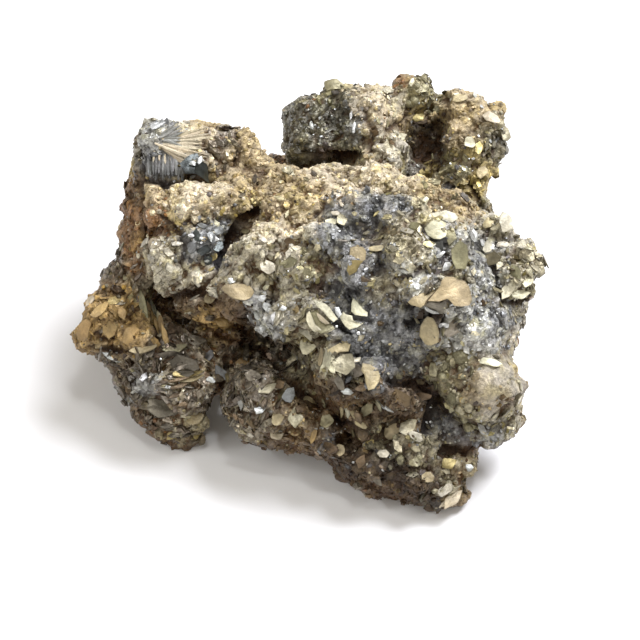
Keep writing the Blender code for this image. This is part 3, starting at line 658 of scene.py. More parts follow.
# (x, y, half length, half width, turn, lean, toward, curl, finish, tone): the leaf's middle on the face, its
# size, its turn on the face in degrees, how far it leans from facing the camera and toward which side, how
# far its ends curl up (or down, below 0) and how light it is.
SHOW_PLATES = [
    # the stack under the rosette
    (0.2, -6.0, 1.7, 0.5, 76, 40, 180, 0.25, "buff", 0.72),
    (0.9, -6.4, 1.8, 0.5, 78, 36, 180, 0.25, "ivory", 0.72),
    (2.5, -7.6, 1.0, 0.5, 60, 30, 30, 0.1, "brown", 1.0),
    (3.9, -7.0, 1.9, 1.6, 40, 18, 90, 0.15, "brass", 0.78),
    (5.6, -8.0, 1.5, 1.1, 120, 28, 240, 0.1, "steel", 1.0),
    (6.6, -10.8, 1.2, 0.8, 30, 34, 260, 0.1, "brown", 1.1),
    (3.0, -9.8, 1.6, 0.9, 110, 30, 220, 0.15, "steel", 0.9),
    (-4.4, -6.6, 1.4, 0.8, 50, 30, 120, 0.1, "brass", 0.8),
    # the fan of thin leaves over the dark pit, and what stands right of it
    (3.5, -14.2, 1.4, 0.4, 100, 34, 180, 0.3, "buff", 0.80),
    (4.4, -14.6, 1.3, 0.4, 104, 30, 180, 0.3, "pale", 0.9),
    (5.2, -14.8, 1.2, 0.5, 108, 26, 30, 0.3, "buff", 0.9),
    (6.5, -16.8, 1.1, 0.6, -34, 24, 90, 0.1, "buff", 1.0),
    (7.7, -14.0, 1.5, 1.1, 60, 22, 200, 0.2, "olive", 0.9),
    (9.2, -13.4, 1.4, 0.4, -50, 36, 200, 0.3, "brass", 0.8),
    (10.0, -13.8, 1.3, 0.3, -46, 30, 60, 0.3, "mirror", 0.8),
    (10.9, -14.3, 0.9, 0.3, -36, 16, 70, 0.0, "mirror", 1.0),
    (13.2, -12.4, 1.9, 1.0, -42, 22, 220, -0.1, "brown", 1.3),
    (16.4, -12.2, 1.4, 0.9, 20, 34, 260, 0.1, "brown", 0.9),
    (11.5, -17.8, 1.6, 1.2, 70, 18, 150, -0.2, "buff", 0.70),
    (14.0, -17.2, 1.7, 1.0, 40, 24, 80, 0.2, "brass", 0.95),
    (15.2, -18.6, 1.3, 0.8, -20, 26, 30, 0.1, "pale", 0.8),
    (7.9, -19.8, 0.9, 0.7, 30, 18, 90, 0.1, "gold", 0.95),
    (3.2, -20.8, 1.2, 0.9, 80, 20, 100, 0.1, "buff", 0.84),
    (1.0, -16.3, 1.4, 1.1, 70, 26, 120, 0.15, "olive", 1.15),
    (-1.0, -18.6, 1.3, 0.5, 76, 24, 160, 0.1, "ochre", 0.72),
    (10.2, -21.4, 1.0, 0.7, 0, 24, 80, 0.1, "pale", 0.95),
    (12.4, -20.2, 1.3, 0.8, 110, 24, 60, 0.1, "brass", 0.9),
    (6.6, -22.6, 1.3, 0.8, 60, 30, 200, 0.1, "brown", 1.1),
    (20.5, -23.0, 1.3, 1.1, 30, 16, 90, -0.2, "gold", 0.85),
    (23.8, -23.6, 0.7, 0.6, 60, 12, 60, 0.0, "mirror", 0.9),
    (21.2, -28.6, 2.1, 1.0, 44, 22, 90, -0.1, "cream", 0.9),
    (20.0, -27.2, 1.6, 0.8, 40, 26, 100, 0.1, "pale", 0.8),
    (17.2, -25.2, 1.2, 0.9, 10, 20, 80, -0.1, "buff", 0.8),
    (25.9, -17.6, 1.2, 0.7, 130, 18, 60, 0.1, "silver", 1.0),
    (15.0, -22.7, 1.0, 0.9, 0, 14, 80, -0.2, "olive", 1.0),
    (9.0, -25.4, 1.2, 0.7, 140, 30, 220, 0.1, "steel", 0.9),
    # the upper right of the dome
    (19.2, 10.4, 0.9, 0.4, 30, 12, 60, 0.0, "mirror", 0.9),
    (19.4, 13.0, 1.4, 0.6, 0, 40, 260, 0.0, "slate", 0.7),
    (6.8, 6.6, 1.6, 0.6, -10, 46, 260, 0.0, "brown", 1.0),
    (9.2, 11.4, 1.5, 0.6, 14, 28, 90, 0.0, "buff", 0.84),
    (1.6, 15.6, 1.1, 0.7, 20, 12, 80, 0.2, "ivory", 1.05),
    (3.6, 16.2, 1.1, 0.9, 70, 16, 60, 0.1, "ivory", 1.12),
    (2.6, 17.0, 0.9, 0.4, 0, 30, 100, 0.0, "pale", 1.0),
    (16.8, 19.0, 0.8, 0.5, 70, 14, 70, 0.0, "ivory", 1.1),
    (24.6, 13.4, 1.2, 0.5, 100, 20, 60, 0.0, "silver", 0.9),
    (15.0, 15.0, 1.2, 0.9, 30, 22, 200, 0.1, "olive", 1.0),
    (29.6, 15.6, 1.9, 1.3, 100, 24, 40, -0.2, "pale", 1.05),
    (26.9, 15.4, 1.2, 0.8, 60, 26, 100, -0.1, "buff", 0.95),
    (30.2, 5.0, 1.9, 1.0, 60, 24, 120, 0.25, "ivory", 0.85),
    (32.0, 4.0, 1.8, 0.9, 12, 26, 60, 0.2, "ivory", 0.95),
    (33.0, 6.8, 1.8, 1.1, 70, 24, 40, 0.1, "brass", 1.15),
    (31.4, 7.6, 1.5, 0.9, 130, 30, 160, 0.1, "olive", 1.0),
    (27.4, 9.8, 1.5, 1.2, 20, 22, 240, 0.15, "brass", 0.9),
    (33.4, 10.6, 1.5, 1.0, 120, 26, 40, 0.1, "brass", 1.05),
    (26.8, 11.6, 1.2, 0.8, 80, 30, 100, 0.1, "pale", 0.9),
    (29.2, 12.0, 1.2, 0.7, 10, 30, 80, 0.1, "steel", 1.1),
    # the smooth ball's top light: a pale facet, partly a painted highlight
    (27.2, -6.9, 1.7, 0.8, -14, 30, 84, -0.1, "ivory", 1.14),
    # the right arm of the upper block
    (24.0, 28.4, 1.1, 1.0, 60, 16, 60, 0.1, "ivory", 0.92),
    (25.3, 27.4, 1.1, 0.7, 80, 18, 60, 0.1, "gold", 1.3),
    (25.9, 23.6, 1.2, 0.9, 70, 16, 80, 0.0, "buff", 1.1),
    (15.7, 32.4, 1.1, 0.9, 40, 18, 80, 0.1, "gold", 1.2),
    (14.6, 38.0, 0.9, 0.4, 60, 20, 60, 0.0, "ivory", 1.0),
    (16.6, 37.0, 1.0, 0.8, 20, 24, 80, 0.1, "olive", 1.2),
    (27.6, 32.2, 1.6, 1.0, -30, 30, 80, -0.1, "cream", 0.95),
    (29.6, 29.6, 1.3, 0.9, 110, 30, 20, 0.1, "brass", 1.0),
    (22.4, 35.4, 1.3, 1.0, 20, 30, 90, -0.1, "buff", 1.05),
    (13.2, 29.2, 0.9, 0.7, 20, 12, 60, 0.0, "ivory", 1.0),
    (2.2, 37.4, 1.8, 1.3, 10, 34, 90, -0.3, "olive", 0.95),
    (5.4, 30.8, 1.1, 0.3, 84, 14, 60, 0.0, "mirror", 0.9),
    (4.9, 32.6, 0.9, 0.3, 80, 14, 60, 0.0, "mirror", 0.85),
    (-1.4, 31.0, 0.8, 0.3, 96, 16, 60, 0.0, "silver", 1.1),
    # the left shoulder of the dome
    (-13.1, 4.6, 2.7, 1.4, -4, 14, 90, -0.08, "buff", 0.84),
    (-14.2, 6.3, 0.6, 0.5, 0, 12, 60, 0.0, "mirror", 0.95),
    (-8.6, 5.2, 0.7, 0.5, 30, 12, 60, 0.0, "ivory", 1.1),
    (-9.3, 3.4, 0.7, 0.6, 60, 12, 60, 0.0, "mirror", 0.9),
    (-8.5, 1.9, 0.9, 0.7, 110, 16, 60, 0.0, "mirror", 0.9),
    (-5.9, 1.8, 0.6, 0.4, 20, 12, 60, 0.0, "mirror", 0.95),
    (-10.0, 0.6, 1.2, 0.6, 120, 26, 60, 0.1, "silver", 1.1),
    (-9.0, -1.0, 1.3, 0.6, 60, 24, 60, 0.1, "silver", 1.1),
    (-7.6, 0.2, 1.1, 0.5, 80, 30, 20, 0.1, "mirror", 0.8),
    (-17.4, 3.6, 1.3, 1.0, 40, 22, 90, 0.0, "buff", 0.9),
    (-16.0, 0.0, 2.0, 1.0, -50, 22, 60, -0.2, "ochre", 0.72),
    (-5.0, 9.0, 1.6, 1.0, 20, 24, 200, 0.1, "olive", 1.0),
    (-8.4, 8.6, 1.7, 1.1, -30, 22, 60, 0.1, "pale", 0.95),
    (-4.6, 12.4, 1.2, 0.8, -40, 26, 240, 0.1, "brown", 1.2),
    # the blue-grey crystals of the upper left block
    (-19.6, 13.6, 1.1, 0.8, 70, 34, 200, -0.05, "jet", 1.7),
    (-17.4, 13.2, 1.0, 0.7, 100, 32, 30, -0.05, "slate", 0.72),
    (-18.6, 11.2, 1.1, 0.8, 20, 34, 290, -0.05, "jet", 1.4),
    (-18.8, 15.0, 1.0, 0.6, 0, 34, 90, 0.0, "slate", 0.8),
    (-16.4, 11.6, 1.2, 0.8, 50, 34, 60, 0.0, "jet", 1.7),
    (-20.4, 11.6, 1.1, 0.8, 120, 30, 150, 0.0, "slate", 0.75),
    (-17.8, 9.6, 1.0, 0.7, 80, 30, 250, 0.0, "jet", 1.4),
    (-16.2, 14.2, 1.0, 0.7, 30, 30, 20, 0.0, "slate", 0.85),
    (-20.6, 13.5, 0.6, 0.4, 0, 14, 60, 0.0, "mirror", 1.0),
    (-19.0, 13.0, 0.4, 0.3, 0, 14, 60, 0.0, "mirror", 0.9),
    (-17.4, 13.1, 0.7, 0.3, 90, 14, 60, 0.0, "mirror", 1.0),
    (-16.6, 12.9, 0.5, 0.4, 0, 14, 60, 0.0, "mirror", 1.0),
    (-18.1, 9.4, 0.5, 0.3, 0, 14, 60, 0.0, "mirror", 0.9),
    (-17.1, 10.0, 0.8, 0.6, 40, 18, 80, 0.0, "gold", 1.0),
    # the dark glinting crystals right of the striated face
    (-20.6, 24.9, 1.9, 1.5, 60, 24, 60, -0.1, "jet", 1.1),
    (-18.8, 23.9, 2.0, 1.3, 120, 26, 330, -0.1, "jet", 0.9),
    (-20.3, 25.0, 0.6, 0.4, 0, 14, 60, 0.0, "mirror", 1.0),
    (-19.2, 25.5, 0.7, 0.4, 60, 14, 60, 0.0, "mirror", 1.0),
    (-21.4, 26.0, 0.5, 0.4, 0, 14, 60, 0.0, "mirror", 1.0),
    (-18.6, 24.0, 0.6, 0.4, 30, 14, 60, 0.0, "mirror", 0.8),
    (-20.4, 22.9, 0.5, 0.3, 10, 14, 60, 0.0, "silver", 1.0),
    (-26.0, 31.0, 1.3, 0.6, 20, 30, 90, 0.0, "mirror", 0.8),
    # the ochre tip at the far left
    (-37.6, -1.6, 2.1, 1.3, 76, 26, 170, -0.2, "ochre", 0.82),
    (-33.6, -1.2, 1.7, 1.2, 70, 20, 240, -0.1, "ochre", 0.85),
    (-30.1, -2.5, 1.8, 1.6, 20, 12, 80, -0.1, "ochre", 0.95),
    (-28.4, -4.8, 2.3, 0.7, 6, 34, 100, 0.3, "buff", 0.72),
    (-35.2, 1.6, 1.7, 0.9, 50, 26, 100, 0.1, "ochre", 1.05),
    (-33.0, 3.0, 1.2, 0.8, 20, 24, 90, 0.0, "gold", 1.0),
    (-36.8, 3.0, 1.1, 0.6, 60, 30, 120, 0.0, "cream", 0.85),
    (-31.8, 1.2, 1.4, 0.8, 110, 24, 60, 0.1, "ochre", 1.0),
    # the foot at the lower left
    (-21.6, -7.0, 2.6, 1.6, -10, 22, 240, 0.05, "steel", 0.75),
    (-21.3, -8.6, 2.9, 0.6, 8, 34, 84, 0.3, "gold", 0.85),
    (-21.0, -9.5, 2.6, 0.5, 12, 36, 84, 0.3, "buff", 0.82),
    (-20.4, -10.4, 2.4, 0.6, 14, 34, 84, 0.3, "steel", 1.0),
    (-16.0, -8.6, 1.8, 1.1, -50, 20, 60, 0.0, "slate", 0.85),
    (-17.4, -9.6, 0.9, 0.4, -20, 14, 60, 0.0, "mirror", 1.0),
    (-27.5, -10.2, 1.4, 0.6, 120, 20, 60, 0.1, "silver", 1.1),
    (-28.2, -9.2, 1.0, 0.5, 60, 24, 60, 0.1, "mirror", 0.8),
    (-25.1, -14.2, 3.2, 1.7, -16, 16, 100, -0.12, "steel", 1.0),
    (-19.9, -15.8, 1.7, 0.9, 26, 24, 60, 0.1, "buff", 0.82),
    (-23.6, -12.0, 1.6, 0.6, -10, 30, 84, 0.2, "steel", 1.0),
    (-23.6, -18.6, 1.1, 0.8, 40, 24, 140, 0.0, "gold", 0.8),
    (-19.6, -18.0, 1.4, 0.6, 60, 28, 20, 0.1, "gold", 0.8),
    (-33.4, -6.0, 1.5, 0.6, -30, 30, 60, 0.0, "silver", 0.9),
    (-23.2, -4.6, 1.9, 0.8, 10, 30, 100, 0.2, "olive", 0.8),
    (-20.2, -3.2, 2.0, 0.9, -20, 30, 80, 0.2, "steel", 0.9),
    (-18.0, -6.0, 1.6, 0.8, 40, 30, 140, 0.2, "slate", 0.8),
    # the lobe right of the notch
    (-6.7, -15.6, 1.4, 1.1, 60, 20, 120, 0.1, "buff", 0.80),
    (-3.8, -15.7, 1.7, 1.3, 80, 18, 60, 0.0, "brass", 0.90),
    (-8.6, -11.0, 1.6, 0.9, 30, 26, 90, 0.2, "brass", 0.85),
    (-10.6, -9.0, 1.5, 0.9, -20, 26, 140, 0.1, "steel", 1.0),
    (-12.6, -13.2, 1.3, 0.6, 100, 30, 180, 0.1, "silver", 0.8),
    (-9.6, -14.4, 1.2, 0.6, 20, 24, 60, 0.1, "mirror", 0.7),
    (-12.4, -6.8, 1.3, 0.9, 40, 24, 80, 0.0, "ochre", 0.62),
    (-7.0, -18.4, 1.2, 0.9, 0, 24, 80, 0.0, "cream", 0.82),
    (-5.0, -12.2, 1.5, 0.9, 60, 28, 60, 0.1, "slate", 0.9),
    (-1.6, -13.2, 1.4, 0.8, -50, 24, 60, 0.1, "buff", 0.78),
]
# Fans of narrow leaves from one root: (root x, root y, first turn, last turn, count, half length, half width,
# lean, finish, tone).
FANS = [
    (-26.4, 28.2, 18, -34, 15, 4.2, 0.34, 12, "cream", 0.95),
    (-26.2, 28.8, 40, -20, 8, 2.2, 0.36, 16, "silver", 0.9),
    (1.6, -5.2, -64, -118, 4, 1.9, 0.45, 34, "ivory", 0.8),
]
# Rows of narrow leaves side by side: (x, y of the first, step x, step y, count, half length, half width,
# turn, lean, toward, finish, tone).
ROWS = [
    (-27.4, 25.2, 0.40, -0.05, 15, 2.2, 0.32, 88, 14, 0, "slate", 1.10),
    (-27.2, 24.4, 0.52, -0.08, 11, 1.6, 0.28, 92, 16, 180, "slate", 0.75),
    (-26.6, 26.2, 0.9, -0.10, 5, 1.1, 0.20, 86, 12, 60, "cream", 0.95),
    (-26.2, 31.0, 0.8, 0.1, 4, 1.0, 0.45, 84, 16, 0, "slate", 1.1),
    (-28.5, 2.2, 0.62, -0.5, 6, 2.7, 0.55, 104, 24, 180, "olive", 0.9),
    (-27.0, 0.6, 0.55, -0.7, 5, 2.2, 0.50, 112, 26, 0, "ochre", 0.62),
    (19.6, -29.6, 0.5, 0.5, 5, 1.6, 0.30, 42, 16, 90, "cream", 0.85),
    (-24.4, -16.6, 0.9, -0.7, 4, 1.6, 0.55, 20, 24, 84, "steel", 0.95),
    (-14.4, -15.2, 1.1, -0.5, 4, 1.3, 0.45, 140, 24, 30, "brown", 1.2),
    (-24.6, -5.4, 0.7, -0.9, 5, 2.3, 0.50, 14, 26, 264, "steel", 0.9),
    (-23.4, -10.2, 0.5, -0.9, 5, 2.0, 0.45, 18, 26, 84, "brown", 1.1),
]
# The leaves that show most, each cut to its own outline: (finish, tone, lean, toward, curl, corners on the
# face, and how far it is lifted or sunk where others overlap it).
CUT_PLATES = [
    # the two lobes of the large buff plate, the left one darker as painted shade, its underside and that
    # one's bright edge, a dark strip of painted shade along the fold between the lobes, and the facets below
    ("steel", 1.10, 34, 250, 0.0, [
        (16.6, 2.5), (17.6, 2.9), (19.0, 2.9), (20.2, 3.0), (20.4, 2.0), (19.6, 1.2), (18.2, 1.2),
        (17.0, 1.7),
    ], -0.4),
    ("buff", 0.96, 14, 60, -0.05, [
        (14.1, 2.9), (14.9, 3.7), (16.0, 4.1), (17.0, 4.6), (18.0, 5.3), (19.0, 5.5), (19.6, 5.0),
        (18.6, 3.9), (17.4, 3.1), (16.7, 2.4), (16.0, 1.9), (15.2, 2.2), (14.6, 2.4),
    ], -0.05),
    ("buff", 1.10, 15, 12, -0.08, [
        (17.4, 3.1), (18.2, 4.0), (19.2, 5.5), (19.2, 6.1), (19.9, 6.8), (21.2, 6.8), (22.1, 6.4),
        (23.1, 6.2), (23.7, 5.4), (24.1, 4.4), (24.3, 3.3), (23.8, 2.4), (22.5, 2.2), (21.3, 2.3),
        (20.8, 2.9), (20.2, 3.4), (19.0, 3.0),
    ], 0.35),
    # a dark strip along the fold between the lobes: painted shade
    ("brown", 0.9, 12, 60, 0.0, [
        (16.7, 2.6), (17.4, 3.0), (18.5, 3.9), (19.5, 5.2), (19.2, 5.4), (18.1, 4.3), (17.2, 3.4),
    ], 0.5),
    ("mirror", 0.84, 20, 60, 0.0, [
        (16.4, 2.3), (17.0, 1.9), (18.1, 1.4), (19.1, 1.3), (19.0, 1.0), (18.0, 0.9), (16.9, 1.4),
    ]),
    ("buff", 0.80, 14, 200, 0.04, [
        (17.2, 0.5), (18.1, 0.2), (18.7, -0.9), (19.0, -2.0), (18.9, -3.5), (17.8, -4.0), (16.9, -3.8),
        (16.0, -2.5), (16.2, -1.0), (16.7, 0.0),
    ]),
    ("pearl", 1.25, 22, 30, 0.1, [
        (20.8, 0.8), (23.0, 1.8), (22.8, 0.2), (22.0, -0.5), (21.6, -1.2), (22.2, -2.0), (20.5, -2.8),
        (19.4, -2.0), (20.4, -1.2), (20.6, -0.2),
    ]),
    ("ivory", 0.90, 24, 60, 0.0, [
        (14.6, 0.9), (15.1, 0.8), (15.9, -0.6), (15.5, -0.7),
    ]),
    # the rosette in the middle
    ("olive", 0.95, 34, 170, 0.1, [
        (-1.8, 2.2), (-2.2, 1.4), (-2.5, 0.6), (-3.0, -0.1), (-3.1, 0.9), (-2.4, 1.9),
    ]),
    ("olive", 1.10, 24, 100, 0.0, [
        (-2.0, 1.0), (-0.4, 1.5), (0.8, 0.6), (1.6, -0.4), (2.3, -1.4), (0.2, -2.2), (-1.6, -1.4),
        (-2.3, 0.0),
    ], -0.35),
    ("pale", 0.75, 30, 150, 0.05, [
        (-3.3, -0.6), (-2.2, -1.0), (-0.9, -2.4), (-1.4, -3.4), (-2.4, -2.6), (-3.3, -1.9),
    ], -0.2),
    ("ivory", 0.80, 26, 40, -0.12, [
        (-1.0, 3.2), (0.7, 2.5), (1.5, 2.0), (2.1, 1.1), (2.8, 0.2), (2.0, -0.4), (1.3, 0.2), (0.5, 1.1),
        (-0.6, 2.2),
    ]),
    ("cream", 0.95, 30, 220, 0.0, [
        (-0.4, 1.2), (0.4, 0.6), (1.5, -0.5), (1.0, -0.6), (0.0, 0.1), (-0.3, 0.8),
    ]),
    ("ivory", 1.02, 18, 80, 0.12, [
        (-2.1, 0.9), (-1.7, 1.3), (-1.3, 0.5), (-0.7, -0.8), (0.2, -1.7), (0.2, -2.1), (-0.9, -1.9),
        (-1.7, -1.1), (-2.2, 0.0),
    ]),
    ("ivory", 1.06, 22, 60, 0.12, [
        (0.0, -1.5), (1.2, -0.9), (1.9, -0.9), (2.3, -1.5), (1.2, -2.1), (0.2, -2.1),
    ]),
    ("ivory", 0.98, 22, 130, 0.12, [
        (-3.1, -2.2), (-2.3, -2.9), (-1.4, -3.9), (-0.4, -3.9), (-0.9, -4.8), (-2.0, -5.6), (-2.8, -5.4),
        (-3.2, -4.4), (-3.1, -3.2),
    ]),
    ("mirror", 0.92, 14, 60, 0.0, [
        (2.3, 2.0), (3.0, 2.0), (3.4, 0.9), (3.0, 0.3), (2.3, 1.2),
    ]),
    ("ivory", 1.18, 18, 70, 0.12, [
        (3.2, 0.4), (3.7, 1.2), (4.1, 0.8), (5.1, 0.6), (5.2, -0.1), (6.2, -0.7), (6.9, -0.5),
        (6.0, -1.2), (4.7, -1.5), (4.1, -1.0), (3.7, -0.5),
    ]),
    ("ivory", 1.12, 18, 60, -0.06, [
        (5.2, 3.3), (5.5, 3.4), (6.2, 2.5), (7.0, 1.6), (7.6, 1.2), (7.5, 0.6), (6.6, 0.6), (5.6, 0.8),
        (5.0, 1.4), (5.0, 2.4),
    ]),
    ("mirror", 0.90, 16, 60, 0.0, [
        (5.8, -1.9), (6.3, -1.9), (6.3, -2.4), (5.9, -2.4),
    ]),
    ("mirror", 0.90, 16, 60, 0.0, [
        (2.4, -0.9), (2.8, -0.9), (2.8, -1.3), (2.4, -1.3),
    ]),
    # the leaves under the rosette
    ("buff", 1.04, 20, 100, 0.05, [
        (1.2, -4.8), (3.0, -3.8), (4.0, -3.0), (4.9, -4.0), (4.5, -5.0), (3.2, -5.2), (2.2, -5.6),
        (1.3, -5.2),
    ]),
    ("ivory", 1.18, 18, 100, 0.12, [
        (1.2, -5.3), (2.3, -5.5), (2.2, -6.3), (1.7, -6.6), (1.7, -7.3), (2.4, -7.6), (2.4, -8.5),
        (1.7, -8.3), (1.1, -7.4), (1.1, -6.3),
    ]),
    ("pale", 1.00, 24, 90, 0.0, [
        (3.3, -5.2), (3.9, -6.1), (6.1, -6.3), (6.5, -6.1), (6.3, -6.7), (4.6, -6.9), (3.8, -6.7),
        (3.1, -5.6),
    ]),
    ("buff", 0.92, 14, 60, -0.06, [
        (6.8, -7.0), (8.0, -7.2), (9.2, -7.9), (9.6, -9.0), (9.3, -10.0), (8.6, -11.0), (7.7, -11.2),
        (7.3, -10.0), (7.1, -8.8), (6.6, -8.2),
    ]),
    ("brown", 1.20, 24, 200, 0.0, [
        (6.4, -9.8), (7.1, -10.1), (7.4, -11.2), (6.8, -11.4),
    ]),
    ("mirror", 0.94, 16, 70, 0.0, [
        (3.3, -11.4), (4.2, -10.9), (4.6, -11.0), (5.3, -11.7), (4.8, -12.0), (3.8, -11.9),
    ]),
    # the upper right of the dome
    ("ivory", 1.20, 10, 70, 0.03, [
        (16.7, 14.6), (17.3, 15.4), (18.0, 15.8), (19.2, 16.0), (20.2, 15.4), (19.9, 14.8), (20.3, 14.1),
        (20.1, 13.4), (19.2, 12.9), (18.2, 13.0), (17.2, 13.6),
    ]),
    ("buff", 0.90, 16, 120, -0.05, [
        (4.9, 11.5), (5.6, 11.7), (6.9, 11.6), (7.4, 10.9), (7.2, 9.6), (5.9, 9.0), (4.7, 9.2),
    ]),
    ("gold", 0.78, 20, 200, 0.05, [
        (4.7, 9.5), (5.8, 9.6), (6.9, 9.4), (6.4, 8.8), (5.8, 7.7), (4.8, 7.2), (4.4, 8.0),
    ]),
    ("pale", 1.10, 26, 90, 0.06, [
        (17.4, 16.9), (19.4, 17.2), (20.0, 17.4), (21.5, 17.0), (22.0, 16.4), (21.8, 15.9), (21.0, 15.4),
        (20.2, 15.7), (19.0, 16.1), (17.5, 16.2),
    ]),
    ("olive", 1.15, 18, 120, 0.0, [
        (20.2, 14.6), (21.4, 14.6), (21.9, 13.0), (20.6, 11.9), (20.2, 13.2),
    ]),
    ("slate", 0.75, 34, 230, 0.0, [
        (18.4, 12.4), (19.6, 12.6), (19.8, 11.2), (18.8, 10.9),
    ]),
    ("olive", 1.25, 14, 160, -0.04, [
        (22.4, 12.7), (23.6, 11.8), (23.7, 9.6), (23.2, 8.2), (21.8, 8.2), (21.2, 9.6), (21.0, 11.2),
    ]),
    ("mirror", 0.96, 12, 60, 0.0, [
        (20.0, 9.2), (20.7, 9.2), (21.1, 8.5), (20.6, 8.0), (19.5, 7.8), (19.7, 8.6),
    ]),
]
ROUNDED = {"buff": 0.65, "ivory": 0.08, "jet": 0.0, "mirror": 0.05}
CLEAR_OF_FLAKES = ("ivory", "buff", "jet", "mirror")
SMOOTH_BALL = (27.6, -10.4, 13.0)   # where it is on the face, and its reach squared: no flakes grow on it
GLINT_LIFT = 0.35           # how far the smallest, brightest chips stand over the leaves they lie on
PROBE = 0.6                 # how far out, over its size, the crust around a leaf is looked at
MOST_STEP = 1.2             # how much of a step of the crust there a leaf follows
LESS_ROUNDED = 0.2          # the other finishes: 0 is cut straight from corner to corner, 1 is a full oval
plate_rng = random.Random(3)
leaves_bm = bmesh.new()
leaf_tint = leaves_bm.verts.layers.float_color.new("tint")
leaf_shine = leaves_bm.verts.layers.float.new("shine")


def seen(x, y):
    """The place on the crust that the camera sees at x, y; None past the outline."""
    return met(crust_tree, x, y)[0]


def uneven_rim(finish, ripple):
    """The rim of a plate of radius 1: a few straight sides, more or less rounded."""
    corner_count = plate_rng.choice((4, 5, 5, 6))
    corner_spots = []
    for number in range(corner_count):
        angle = math.tau * (number + plate_rng.uniform(-0.26, 0.26)) / corner_count
        reach = plate_rng.uniform(0.84, 1.22)
        corner_spots.append(Vector((math.cos(angle) * reach, math.sin(angle) * reach)))
    rim = []
    for number in range(PLATE_SIDES):
        step = corner_count * number / PLATE_SIDES
        first = corner_spots[int(step) % corner_count]
        second = corner_spots[(int(step) + 1) % corner_count]
        cut = first.lerp(second, step - int(step))
        angle = math.atan2(cut.y, cut.x)
        lobes = 0.94 + 0.13 * math.sin(2.0 * angle + ripple)
        lobes += 0.09 * math.sin(3.0 * angle - 2.0 * ripple)
        rim.append(cut.lerp(cut.normalized() * lobes, ROUNDED.get(finish, LESS_ROUNDED)))
    return rim


def leaf(x, y, long, wide, turn, lean, toward, curl, finish, tone, rim=None, lift=0.0):
    """Adds one plate, set on the crust at x, y: two skins of rings and the rim that joins them."""
    spot = seen(x, y)
    if spot is None:
        return
    side = math.radians(toward)
    tip = math.radians(lean)
    facing = Vector((math.sin(tip) * math.cos(side), math.sin(tip) * math.sin(side), math.cos(tip)))
    along = Vector((math.cos(math.radians(turn)), math.sin(math.radians(turn)), 0.0))
    along = (along - facing * along.dot(facing)).normalized()
    across = facing.cross(along)
    if rim:
        along = Vector((1.0, 0.0, -facing.x / facing.z))
        across = Vector((0.0, 1.0, -facing.y / facing.z))
    probes = [(PROBE * long, 0.0), (-PROBE * long, 0.0), (0.0, PROBE * wide), (0.0, -PROBE * wide)]
    around = [seen(x + along.x * u + across.x * v, y + along.y * u + across.y * v) for u, v in probes]
    steps = [min(max(other.z - spot.z, -MOST_STEP), MOST_STEP) for other in around if other is not None]
    ripple = plate_rng.uniform(0.0, math.tau)
    colour = [channel * tone * plate_rng.uniform(0.98, 1.02) for channel in COLOURS[NAMES.index(finish)]]
    shine_here = SHINES[NAMES.index(finish)]
    rise = 0.55 * max(steps + [0.0]) + 0.25 * wide * math.sin(tip) + GLINT_LIFT * (finish == "mirror")
    middle = spot + facing * 0.15 + Vector((0.0, 0.0, rise + lift))
    side_shading = plate_rng.choice((-0.3, -0.2, 0.2, 0.3))
    rim = rim or uneven_rim(finish, ripple)
    sides = len(rim)
    skins = []
    for face_sign in (1.0, -1.0):
        hub = leaves_bm.verts.new(middle + facing * (face_sign * 0.5 * PLATE_THICK - curl * long * 0.3))
        rings = [[hub]]
        for reach in PLATE_RINGS:
            ring = []
            for spot_uv in rim:
                u, v = spot_uv.x * reach, spot_uv.y * reach
                thin = 1.0 - 0.45 * reach ** 2
                bend = curl * long * (u * u - 0.3)
                bend += 0.09 * wide * math.sin(3.6 * u + 2.2 * v + ripple)
                bend += 0.04 * wide * math.sin(6.5 * v - 3.0 * u + ripple)
                place = middle + along * (u * long) + across * (v * wide)
                place += facing * (face_sign * 0.5 * PLATE_THICK * thin + bend)
                ring.append(leaves_bm.verts.new(place))
            rings.append(ring)
        for ring_number, ring in enumerate(rings):
            for number, vert in enumerate(ring):
                shade = RING_SHADES[ring_number] * plate_rng.uniform(0.93, 1.07)
                # Painted light: each plate lighter toward one side and darker toward the other.
                shade *= 1.0 + side_shading * PLATE_RINGS[ring_number - 1] * math.cos(math.tau * number / sides)
                vert[leaf_tint] = (*[channel * shade for channel in colour], 1.0)
                vert[leaf_shine] = shine_here
        skins.append(rings)
    for rings, flip in zip(skins, (False, True)):
        for number in range(sides):
            after = (number + 1) % sides
            loops = [[rings[0][0], rings[1][number], rings[1][after]]]
            for inner, outer in zip(rings[1:], rings[2:]):
                loops.append([inner[number], outer[number], outer[after], inner[after]])
            for loop in loops:
                leaves_bm.faces.new(loop[::-1] if flip else loop)
    top, bottom = skins[0][-1], skins[1][-1]
    for number in range(sides):
        after = (number + 1) % sides
        side_face = leaves_bm.faces.new([top[number], bottom[number], bottom[after], top[after]])
        for edge in side_face.edges:
            edge.smooth = False


for row in SHOW_PLATES:
    leaf(*row)
clear_spots = [(row[0], row[1], row[2] * row[3]) for row in SHOW_PLATES if row[8] in CLEAR_OF_FLAKES]
clear_spots.append(SMOOTH_BALL)
for finish, tone, lean, toward, curl, outline, *lift in CUT_PLATES:
    xs, ys = zip(*outline)
    x, y = sum(xs) / len(xs), sum(ys) / len(ys)
    half_x, half_y = 0.5 * (max(xs) - min(xs)), 0.5 * (max(ys) - min(ys))
    reach = max(half_x, half_y)
    rim = [Vector(((corner_x - x) / reach, (corner_y - y) / reach)) for corner_x, corner_y in outline]
    leaf(x, y, reach, reach, 0, lean, toward, curl, finish, tone, rim, sum(lift))
    clear_spots.append((x, y, half_x * half_y))
for root_x, root_y, first, last, count, long, wide, lean, finish, tone in FANS:
    for number in range(count):
        turn = first + (last - first) * number / (count - 1)
        reach = long * plate_rng.uniform(0.9, 1.1)
        x = root_x + reach * math.cos(math.radians(turn))
        y = root_y + reach * math.sin(math.radians(turn))
        shade = tone * plate_rng.uniform(0.75, 1.12)
        leaf(x, y, reach, wide, turn, lean, turn + (90 if number % 2 else -90), 0.03, finish, shade)
